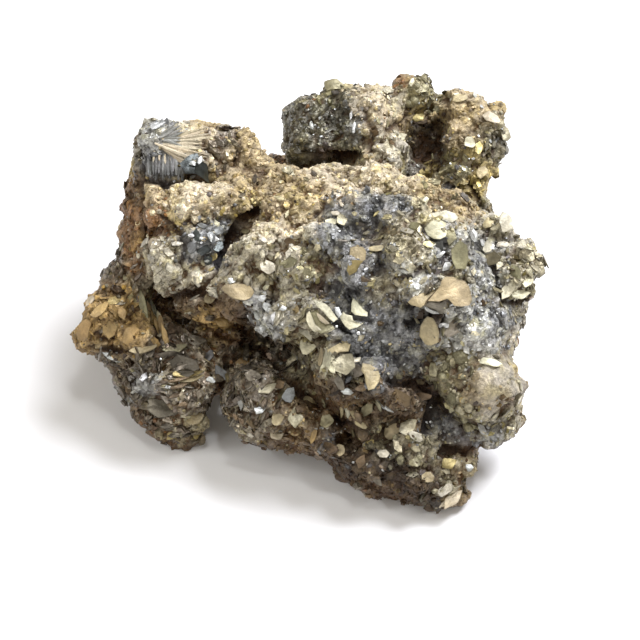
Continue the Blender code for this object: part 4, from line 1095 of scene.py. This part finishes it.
for x, y, step_x, step_y, count, long, wide, turn, lean, toward, finish, tone in ROWS:
    for number in range(count):
        drop = plate_rng.uniform(-0.3, 0.3) * long
        shade = tone * plate_rng.uniform(0.55, 1.25)
        twist = turn + plate_rng.uniform(-5.0, 5.0)
        reach = long * plate_rng.uniform(0.75, 1.1)
        spot_x, spot_y = x + step_x * number, y + step_y * number + drop
        leaf(spot_x, spot_y, reach, wide, twist, lean, toward, 0.02, finish, shade)

leaves_mesh = bpy.data.meshes.new("show_plates")
bmesh.ops.recalc_face_normals(leaves_bm, faces=leaves_bm.faces)
for face in leaves_bm.faces:
    face.smooth = True
leaves_bm.to_mesh(leaves_mesh)
leaves_bm.free()
put_points(leaves_mesh, kept_above_floor(points_of(leaves_mesh)))
leaves_mesh.transform(to_row)
plate_facets = [(1.1, 0.16), (0.4, 0.14)]
plate_metal = skin_material("plate_metal", plate_facets, (0.56, 0.34), 0.16, 0.18, (0.78, 1.14))
leaves_mesh.materials.append(plate_metal)
show_plates = add_object("show_plates", leaves_mesh)
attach(show_plates, "root")

# The flakes: thousands of thin platy crystals up to a millimetre or so across that lie over the crust like
# scales, many of them tipped the way that their neighbours are. They are grown from the crust, each sunk into
# it by one edge.


def arrays_of(bm):
    """The points and triangles of a finished shape, which is freed. Blender's own order of faces can differ
    from run to run, so they are sorted, each from its lowest point on."""
    points = np.array([vert.co for vert in bm.verts])
    faces = [[vert.index for vert in face.verts] for face in bm.faces]
    bm.free()
    faces = [face[face.index(min(face)):] + face[:face.index(min(face))] for face in faces]
    return points, np.array(sorted(faces))


def plate_shape(sides, thick, dome, rng):
    """One flake of radius 1, an uneven polygon raised in the middle: its points, triangles and painted
    shades.
    """
    bm = bmesh.new()
    bmesh.ops.create_circle(bm, cap_ends=True, cap_tris=True, segments=sides, radius=1.0)
    for vert in bm.verts:
        if vert.co.length > 0.5:
            vert.co *= rng.uniform(0.72, 1.15)
    raised = bmesh.ops.extrude_face_region(bm, geom=bm.faces[:])["geom"]
    top = [item for item in raised if isinstance(item, bmesh.types.BMVert)]
    for vert in top:
        vert.co.z += thick
    for vert in bm.verts:
        if vert.co.xy.length < 0.5:
            vert.co.z += dome
    bmesh.ops.translate(bm, vec=(0.0, 0.0, -0.5 * thick), verts=bm.verts)
    bmesh.ops.recalc_face_normals(bm, faces=bm.faces)
    bmesh.ops.triangulate(bm, faces=bm.faces)
    bm.verts.index_update()
    points, faces = arrays_of(bm)
    # Painted light: the middle of the top lighter, the rim darker, the underside darker still.
    shades = np.where(np.linalg.norm(points[:, :2], axis=1) < 0.5, 1.14, 0.90)
    shades = shades * np.where(points[:, 2] > 0.0, 1.0, 0.7)
    return points, faces, shades * np.array([rng.uniform(0.9, 1.1) for _ in points])


SINK_SHADE = 0.45           # how much painted shade a crystal gets where it is sunk in, and painted highlight at its free edge


def strewn(name, shapes, spots, axes, sizes, tints, shines, away=None):
    """One mesh piece of many small crystals: a shape, turned, sized and set at each spot. Where the way out
    of the crust is given, each gets painted shade toward the edge that is sunk in and a painted highlight
    toward the free one."""
    all_points, all_faces, all_tints, all_shines = [], [], [], []
    start = 0
    which = chance.integers(0, len(shapes), len(spots))
    for number, (points, faces, shades) in enumerate(shapes):
        mine = which == number
        count = int(mine.sum())
        placed = np.einsum("nij,nkj->nki", axes[mine], points[None] * sizes[mine][:, None])
        lit = np.broadcast_to(shades, placed.shape[:2])
        if away is not None:
            lift = np.einsum("nki,ni->nk", placed, away[mine]) / sizes[mine][:, :1]
            lit = lit * np.clip(1.0 + SINK_SHADE * lift, 1.0 - SINK_SHADE, 1.0 + SINK_SHADE)
        placed += spots[mine][:, None]
        all_points.append(placed.reshape(-1, 3))
        offsets = start + len(points) * np.arange(count)
        all_faces.append((faces[None] + offsets[:, None, None]).reshape(-1, 3))
        all_tints.append((tints[mine][:, None] * lit[:, :, None]).reshape(-1, 3))
        all_shines.append(np.repeat(shines[mine], len(points)))
        start += count * len(points)
    points = kept_above_floor(np.concatenate(all_points))
    faces = np.concatenate(all_faces)
    mesh = bpy.data.meshes.new(name)
    mesh.vertices.add(len(points))
    mesh.vertices.foreach_set("co", points.astype(np.float32).ravel())
    mesh.loops.add(faces.size)
    mesh.loops.foreach_set("vertex_index", faces.astype(np.int32).ravel())
    mesh.polygons.add(len(faces))
    mesh.polygons.foreach_set("loop_start", np.arange(0, faces.size, 3, dtype=np.int32))
    mesh.update(calc_edges=True)
    mesh.shade_flat()
    paint(mesh, np.concatenate(all_tints), np.concatenate(all_shines))
    mesh.transform(to_row)
    piece = add_object(name, mesh)
    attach(piece, "root")
    return piece


def unit_rows(rows):
    return rows / np.linalg.norm(rows, axis=1, keepdims=True)


def laid_on(rows, facing):
    """Each direction turned until it lies square to the way that its crystal faces."""
    return unit_rows(rows - facing * (rows * facing).sum(axis=1, keepdims=True))


def axes_of(along, facing):
    """The three axes of each crystal: along it, across it and out of it."""
    return np.stack([along, np.cross(facing, along), facing], axis=2)


def lean_of(facing, away):
    """How far each crystal leans from the way out of the crust: 0 flat on it, 1 on edge."""
    return np.sqrt(1.0 - np.clip((facing * away).sum(axis=1), 0.0, 1.0) ** 2)


# Each finish's flakes: how thickly they lie (per mm2), their radius, how far they tip with their neighbours,
# how far they go their own way, and how much they overlap in sheets like shingles.
FLAKES = {
    "silver": (1.8, 0.42, 0.30, 0.40, 0.2),
    "cream": (0.5, 0.34, 0.15, 0.40, 0.0),
    "tan": (0.5, 0.36, 0.15, 0.40, 0.0),
    "pale": (1.1, 0.52, 0.40, 0.35, 0.3),
    "brass": (1.4, 0.58, 0.50, 0.35, 0.3),
    "gold": (1.6, 0.48, 0.40, 0.45, 0.2),
    "olive": (1.4, 0.52, 0.48, 0.35, 0.3),
    "ochre": (1.1, 0.58, 0.45, 0.35, 0.6),
    "rust": (0.6, 0.42, 0.25, 0.40, 0.2),
    "brown": (1.3, 0.50, 0.55, 0.40, 0.5),
    "slate": (1.4, 0.32, 0.20, 0.50, 0.1),
    "steel": (1.5, 0.62, 0.55, 0.30, 0.8),
    "glitter": (2.6, 0.38, 0.35, 0.50, 0.2),
    "dark": (0.8, 0.46, 0.30, 0.40, 0.3),
    "pearl": (0.0, 0.60, 0.1, 0.1, 0.0),
    "ivory": (1.0, 0.50, 0.3, 0.3, 0.0),
    "buff": (1.0, 0.50, 0.3, 0.3, 0.0),
    "jet": (1.0, 0.40, 0.3, 0.3, 0.0),
    "mirror": (1.0, 0.40, 0.3, 0.3, 0.0),
}
WARMTH = np.array([0.3 if name in ("slate", "silver", "mirror", "jet") else 1.0 for name in NAMES])
STRAY_SHARE = 0.08          # how many flakes have another finish than the crust under them
STRAYS = ["brass", "olive", "pale", "silver", "dark", "brass", "cream"]
FLOW_SIZE = 7.0             # how far apart the ways change that the sheets run
CLUSTER_SIZE = 2.2          # how far apart the ways change that neighbours tip
EDGE_FLATTER = 0.12         # how much flatter they lie on the sides, so that the outline stays smooth
CLEAR_SHARE = 0.8           # how much of a clear show plate's size stays without flakes
CLEAR_DEPTH = 0.5           # how much a step in depth counts there against one across the face
SIDEWAYS = 0.45             # the crust is a side where its way out points less than this at the camera
YELLOWER = np.array((0.30, 0.12, -1.15))    # how a warmer crystal's red, green and blue differ
LAYS = np.array([FLAKES[name] for name in NAMES])
chance = np.random.default_rng(5)
shape_rng = random.Random(9)
flake_shapes = [plate_shape(sides, 0.20, 0.03, shape_rng) for sides in (4, 5, 5, 6, 6)]

quad = skin[corners]
areas = 0.5 * np.linalg.norm(np.cross(quad[:, 2] - quad[:, 0], quad[:, 3] - quad[:, 1]), axis=1)
middles = quad.mean(axis=1)
bare = np.clip(1.0 - 1.4 * crease_shade[corners[:, 0]] - 0.7 * crack[corners[:, 0]], 0.0, 1.0)
for x, y, spread in clear_spots:
    spot = seen(x, y)
    if spot is not None:
        bare *= 1.0 - np.exp(-off_squared(middles, spot, CLEAR_DEPTH) / (CLEAR_SHARE ** 2 * spread))
FLOOR_GAP = 1.6             # no crystals grow where the crust is nearer than this to the surface it rests on
bare *= above_floor[corners[:, 0]] > FLOOR_GAP
thickness = (shares[corners[:, 0]] @ LAYS[:, 0]) * areas * bare
in_front = calm_out[corners[:, 0], 2] > -0.15


def soiled_and_shaded(tints, at):
    """The colours of crystals that stand at these points of the crust, after the dirt and the painted light
    and shade that lie there.
    """
    share = (0.75 * dirt_and_shade[at])[:, None]
    return (tints * (1.0 - share) + 0.7 * dirt_and_shade_hue[at] * share) * painted_light_gain[at]


def varied(kind, tones, at):
    """The colours of crystals of these finishes: lighter or darker, some warmer, then given the dirt and
    painted light and shade there.
    """
    warm = chance.normal(0.01, 0.12, len(kind)).clip(-0.05, 0.30) * WARMTH[kind]
    return soiled_and_shaded(COLOURS[kind] * tones[:, None] * (1.0 + warm[:, None] * YELLOWER), at)


def kinds_at(picked, liking):
    """A finish for each picked face, by chance: one that the crust has there and that these crystals like."""
    odds = shares[corners[picked, 0]] * liking
    odds = (odds / odds.sum(axis=1, keepdims=True)).cumsum(axis=1)
    return (chance.random(len(picked))[:, None] > odds).sum(axis=1).clip(0, len(NAMES) - 1)


def sow(name, picked):
    """Grows flakes at the picked faces of the crust."""
    points = middles[picked]
    away = unit_rows(calm_out[corners[picked, 0]])
    kind = kinds_at(picked, LAYS[:, 0])
    odd = np.array([NAMES.index(name) for name in STRAYS])[chance.integers(0, len(STRAYS), len(picked))]
    strays = chance.random(len(picked)) < STRAY_SHARE
    kind = np.where(strays, odd, kind)
    _, _, cluster = cells(points, CLUSTER_SIZE, 31)
    grid = np.round(cluster * 1000.0)
    lead = unit_rows(np.stack([dice(grid, salt) for salt in (41, 42, 43)], axis=1) - 0.5)
    course = math.pi * drift(points, FLOW_SIZE, 44)
    run = np.stack([np.cos(course), np.sin(course), 0.3 * np.sin(2.0 * course)], axis=1)
    run = laid_on(run, away)
    sheet = LAYS[kind, 4][:, None]
    lead = unit_rows(lead * (1.0 - sheet) + np.cross(away, run) * sheet)
    own = unit_rows(chance.normal(size=points.shape))
    flat = np.where(np.abs(away[:, 2]) < SIDEWAYS, EDGE_FLATTER, 1.0)[:, None]
    facing = unit_rows(away + flat * (lead * LAYS[kind, 2][:, None] + own * LAYS[kind, 3][:, None]))
    stray = unit_rows(chance.normal(size=points.shape))
    axes = axes_of(laid_on(run * sheet + stray * (1.1 - sheet), facing), facing)
    size = LAYS[kind, 1] * chance.lognormal(-0.14, 0.42, len(picked)).clip(0.4, 1.8)
    narrow = chance.uniform(0.5, 1.0, len(picked)) * (1.0 - 0.4 * LAYS[kind, 4])
    size = np.where(strays, 0.75 * size, size) * (0.7 + 0.3 * flat[:, 0])
    sizes = np.stack([size * (1.0 + 0.4 * LAYS[kind, 4]), size * narrow, size], axis=1)
    points = points + away * (size * (0.05 + 0.36 * lean_of(facing, away)))[:, None]
    tones = chance.lognormal(-0.03, 0.31, len(picked)).clip(0.35, 1.7)
    tints = varied(kind, tones, corners[picked, 0])
    shines = np.clip(SHINES[kind] + chance.normal(0.05, 0.12, len(picked)), 0.05, 1.0)
    return strewn(name, flake_shapes, points, axes, sizes, tints, shines, away)


def pick_faces(weights, count):
    return chance.choice(len(weights), count, p=weights / weights.sum())


flake_metal = skin_material("flake_metal", [(0.45, 0.38)], (0.56, 0.27), 0.42, 0.16)
for name, side, count in (("front_flakes", in_front, 8000), ("back_flakes", ~in_front, 6500)):
    sow(name, pick_faces(thickness * side, count)).data.materials.append(flake_metal)

# The books: stacks of a few thin plates that lie on one another like pages, fanned a little, wherever the
# cluster is platy. They are the same metal as the flakes, and each is sunk into the crust by its lower edge.
BOOK_LIKING = by_finish({
    "brass": 1.0, "pale": 0.6, "steel": 1.6, "brown": 1.3, "olive": 0.9, "ochre": 0.8, "silver": 0.3,
})
PAGE_STRETCH = 1.1          # makes a flake's shape as thick as a page


def sow_books(name, picked):
    """Grows one book at each picked face of the crust."""
    pages = chance.integers(3, 7, len(picked))
    points = middles[picked]
    away = unit_rows(calm_out[corners[picked, 0]])
    kind = kinds_at(picked, BOOK_LIKING + 0.001)
    flat = np.where(np.abs(away[:, 2]) < SIDEWAYS, 0.15, 0.75)[:, None]
    facing = unit_rows(away + flat * unit_rows(chance.normal(size=points.shape)))
    along = unit_rows(np.cross(facing, chance.normal(size=points.shape)))
    size = chance.uniform(0.5, 1.25, len(picked))
    step = chance.uniform(0.14, 0.22, len(picked))
    tone = chance.lognormal(-0.05, 0.16, len(picked))
    rows = np.repeat(np.arange(len(picked)), pages)
    page = np.concatenate([np.arange(count) for count in pages]) - 0.5 * (pages[rows] - 1)
    facing = unit_rows(facing[rows] + 0.08 * chance.normal(size=(len(rows), 3)))
    along = laid_on(along[rows], facing)
    axes = axes_of(along, facing)
    spread = size[rows] * chance.uniform(0.8, 1.1, len(rows))
    sizes = np.stack([spread, spread * 0.8, np.full(len(rows), PAGE_STRETCH)], axis=1)
    spots = points[rows] + facing * (page * step[rows])[:, None]
    spots += away[rows] * (0.22 * spread * lean_of(facing, away[rows]) - 0.12)[:, None]
    spots += along * (0.18 * spread * chance.normal(size=len(rows)))[:, None]
    tones = tone[rows] * chance.lognormal(0.0, 0.12, len(rows))
    tints = soiled_and_shaded(COLOURS[kind[rows]] * tones[:, None], corners[picked[rows], 0])
    shines = np.clip(SHINES[kind[rows]] + chance.normal(0.05, 0.08, len(rows)), 0.05, 1.0)
    return strewn(name, flake_shapes, spots, axes, sizes, tints, shines, away[rows])


bookish = (shares[corners[:, 0]] @ BOOK_LIKING) * areas * bare
for name, side, count in (("front_books", in_front, 420), ("back_books", ~in_front, 380)):
    sow_books(name, pick_faces(bookish * side, count)).data.materials.append(flake_metal)

# The glints: clusters of the smallest crystal faces, bare metal that mirrors the light. Each is one small
# flake that faces nearly straight out of the crust.
GLINTS = [
    # (x, y, reach of the cluster, count, radius)
    (-18.2, 12.6, 2.4, 16, 0.26), (-20.0, 24.6, 1.8, 8, 0.24), (-26.0, 30.4, 2.2, 10, 0.26),
    (24.4, 3.0, 3.4, 22, 0.24), (22.6, -3.6, 2.6, 12, 0.24), (-8.8, 0.6, 2.6, 18, 0.30),
    (26.0, 9.0, 3.2, 12, 0.24), (-0.4, 30.4, 3.6, 22, 0.24), (3.0, 33.6, 2.2, 8, 0.22),
    (-26.8, -10.4, 2.4, 12, 0.26), (-20.0, -13.0, 3.0, 10, 0.24), (11.6, -6.6, 4.0, 12, 0.20),
    (-9.4, -13.2, 3.2, 12, 0.24), (14.6, -15.4, 4.0, 16, 0.22), (22.0, -18.6, 3.0, 10, 0.24),
    (8.0, -22.0, 4.0, 10, 0.22), (-33.6, -5.6, 1.8, 6, 0.24), (27.6, 30.6, 2.6, 10, 0.26),
    (24.6, 24.6, 2.2, 10, 0.26), (-4.6, 4.6, 4.0, 12, 0.24), (-22.4, -7.6, 4.2, 16, 0.26),
    (-8.6, -9.6, 4.0, 12, 0.24), (1.0, -16.0, 4.0, 12, 0.22), (6.4, 2.6, 5.0, 14, 0.18),
    (16.6, 35.8, 2.4, 8, 0.24), (31.0, 8.0, 3.4, 12, 0.26), (-24.6, 12.4, 3.6, 8, 0.2),
]
GLINT_KINDS = ["mirror", "silver", "pale", "mirror"]
TO_THE_KEY = np.array((0.35, 0.35, 0.8))    # the way that mirrors the main light at the camera, more or less


def turned_anyhow(facing):
    """The axes of crystals that face these ways, each turned by chance."""
    return axes_of(unit_rows(np.cross(facing, chance.normal(size=facing.shape))), facing)


def glint_spots():
    """Where the glints stand on the crust, the way out of it there, and their sizes."""
    spots, ways, radii = [], [], []
    for x, y, reach, count, radius in GLINTS:
        for _ in range(count):
            angle, off = chance.uniform(0.0, math.tau), reach * math.sqrt(chance.random())
            spot, way = met(crust_tree, x + off * math.cos(angle), y + off * math.sin(angle))
            if spot is None:
                continue
            spots.append(spot + way * 0.12)
            ways.append(way)
            radii.append(radius * chance.lognormal(0.0, 0.35))
    return np.array(spots), np.array(ways), np.array(radii)


spots, ways, radii = glint_spots()
facing = unit_rows(ways * 0.5 + TO_THE_KEY + 0.35 * chance.normal(size=ways.shape))
glint_axes = turned_anyhow(facing)
kind = np.array([NAMES.index(name) for name in GLINT_KINDS])[chance.integers(0, len(GLINT_KINDS), len(radii))]
glint_sizes = np.stack([radii, radii * chance.uniform(0.5, 1.0, len(radii)), radii], axis=1)
glint_tints = COLOURS[kind] * chance.uniform(0.7, 1.0, (len(radii), 1))
glints = strewn("glints", flake_shapes, spots, glint_axes, glint_sizes, glint_tints, SHINES[kind])
glints.data.materials.append(flake_metal)

# The grains: angular granules under half a millimetre that make the dull crust look like coarse sugar, and
# roughen the grey matrix between the plates. Each is a chipped knot sunk halfway into the crust.
GRAIN_LIKING = by_finish({
    "cream": 3.0, "tan": 3.0, "pale": 1.8, "slate": 2.2, "glitter": 1.5, "rust": 2.0, "ochre": 1.2,
    "gold": 1.5, "brown": 1.8, "dark": 1.2, "silver": 1.0, "olive": 1.2, "brass": 1.0, "steel": 1.2,
})
EDGE_GRAIN = 0.62           # how much smaller they are on the sides, so that the outline stays smooth


def knot_shape(rough, rng):
    """One granule of radius 1: its points, triangles and shades."""
    bm = bmesh.new()
    bmesh.ops.create_icosphere(bm, subdivisions=1, radius=1.0)
    for vert in bm.verts:
        vert.co *= rng.uniform(1.0 - rough, 1.0 + rough)
    points, faces = arrays_of(bm)
    return points, faces, np.array([rng.uniform(0.85, 1.15) for _ in points])


def sow_grains(name, picked):
    """Grows one granule at each picked face of the crust."""
    points = middles[picked]
    kind = kinds_at(picked, GRAIN_LIKING + 0.001)
    axes = turned_anyhow(unit_rows(chance.normal(size=points.shape)))
    sizes = (0.27 * chance.lognormal(0.0, 0.36, len(picked)).clip(0.4, 2.4))[:, None]
    sizes = sizes * chance.uniform(0.7, 1.3, (len(picked), 3))
    sizes = np.where(np.abs(calm_out[corners[picked, 0], 2:3]) < SIDEWAYS, EDGE_GRAIN * sizes, sizes)
    tints = varied(kind, chance.lognormal(-0.04, 0.24, len(picked)), corners[picked, 0])
    shines = np.clip(SHINES[kind] + chance.normal(0.05, 0.15, len(picked)), 0.0, 1.0)
    return strewn(name, knots, points, axes, sizes, tints, shines)


knots = [knot_shape(0.22, shape_rng) for _ in range(6)]
grain_metal = skin_material("grain_metal", [(0.3, 0.34)], (0.64, 0.28), 0.38, 0.20)
granular = (shares[corners[:, 0]] @ GRAIN_LIKING) * areas * bare
for name, side, count in (("front_grains", in_front, 7500), ("back_grains", ~in_front, 5000)):
    sow_grains(name, pick_faces(granular * side, count)).data.materials.append(grain_metal)

# The buds: small round knots of metal, in clusters beside the smooth ball and on the domes of the upper
# block. Each is a low ball sunk halfway into the crust.
BUD_CLUSTERS = [
    # (x, y, reach of the cluster, count, bud radius, finish)
    (21.0, -7.6, 2.4, 12, 0.50, "olive"), (21.4, -11.0, 2.4, 12, 0.44, "brass"),
    (23.4, -14.4, 1.8, 9, 0.46, "brass"), (24.6, -16.0, 1.8, 8, 0.46, "olive"),
    (31.0, -9.4, 1.2, 5, 0.30, "brass"), (16.4, 35.6, 2.4, 10, 0.46, "olive"),
    (28.6, 31.4, 2.4, 9, 0.46, "brass"), (14.2, -20.2, 2.6, 10, 0.46, "olive"),
    (19.4, -25.6, 2.4, 8, 0.44, "brass"),
]
BUD_STEP = 4.0              # a bud this much nearer or farther than the middle of its cluster is left out
ball_bm = bmesh.new()
bmesh.ops.create_icosphere(ball_bm, subdivisions=2, radius=1.0)
ball_points, ball_faces = arrays_of(ball_bm)
bud_spots, bud_sizes, bud_tints, bud_shines = [], [], [], []
for x, y, reach, count, radius, finish in BUD_CLUSTERS:
    kind = NAMES.index(finish)
    for _ in range(count):
        angle, away_by = chance.uniform(0.0, math.tau), reach * math.sqrt(chance.random())
        spot = seen(x + away_by * math.cos(angle), y + away_by * math.sin(angle))
        if spot is None or abs(spot.z - spot_on_face(x, y).z) > BUD_STEP:
            continue
        size = radius * chance.lognormal(0.0, 0.40)
        bud_spots.append(spot)
        bud_sizes.append(size * chance.uniform(0.8, 1.15, 3))
        bud_tints.append(COLOURS[kind] * chance.lognormal(-0.02, 0.12))
        bud_shines.append(SHINES[kind])
ball = (ball_points, ball_faces, np.ones(len(ball_points)))
turns = np.broadcast_to(np.eye(3), (len(bud_spots), 3, 3))
buds = strewn("buds", [ball], *map(np.array, (bud_spots, turns, bud_sizes, bud_tints, bud_shines)))
buds.data.materials.append(skin_material("bud_metal", [(0.5, 0.45)], (0.62, 0.30), 0.30, 0.35))
buds.data.shade_smooth()

# The surface that the specimen rests on, and the light: a plain pale table under a soft box overhead, a fill
# from the front, and a few small lights that make the facets glint.
floor_bm = bmesh.new()
bmesh.ops.create_grid(floor_bm, x_segments=1, y_segments=1, size=1.5)
floor_mesh = bpy.data.meshes.new("table")
floor_bm.to_mesh(floor_mesh)
floor_bm.free()
table = add_object("table", floor_mesh)
pale = bpy.data.materials.new("pale_table")
pale.use_nodes = True
pale_inputs = pale.node_tree.nodes["Principled BSDF"].inputs
pale_inputs["Base Color"].default_value = (0.86, 0.86, 0.86, 1.0)
pale_inputs["Roughness"].default_value = 0.9
floor_mesh.materials.append(pale)


def add_light(name, place, size, power, tone=(1.0, 1.0, 1.0)):
    """A square area light at this place, in metres, aimed at the middle of the specimen."""
    lamp = bpy.data.lights.new(name, "AREA")
    lamp.size = size
    lamp.energy = power
    lamp.color = tone
    holder = add_object(name, lamp)
    holder.location = place
    aim = Vector((0.0, 0.0, 0.02)) - Vector(place)
    holder.rotation_euler = aim.to_track_quat("-Z", "Y").to_euler()


add_light("key_box", (0.28, 0.20, 0.52), 0.32, 7.8, (0.99, 1.0, 1.07))
add_light("left_fill", (-0.50, -0.30, 0.50), 0.45, 1.1)
add_light("glint_left", (-0.50, -0.10, 0.50), 0.05, 0.55)
add_light("glint_right", (0.45, -0.35, 0.55), 0.05, 0.55)
add_light("glint_top", (0.05, -0.10, 0.75), 0.06, 0.8)

world = bpy.data.worlds.new("studio")
world.use_nodes = True
studio = world.node_tree
background = studio.nodes["Background"]
background.inputs["Color"].default_value = (1.0, 0.90, 0.77, 1.0)
around = add_node(studio, "TexCoord", "Generated")
walls = add_node(studio, "TexNoise", "Fac", {"Vector": around, "Scale": 2.6, "Detail": 2.0})
studio.links.new(mapped(studio, walls, 0.02, 0.80, 0.38, 0.64), background.inputs["Strength"])
bpy.context.scene.world = world
bpy.context.scene.view_settings.view_transform = "Standard"
bpy.context.scene.view_settings.exposure = -0.15
bpy.context.scene.view_settings.gamma = 1.15
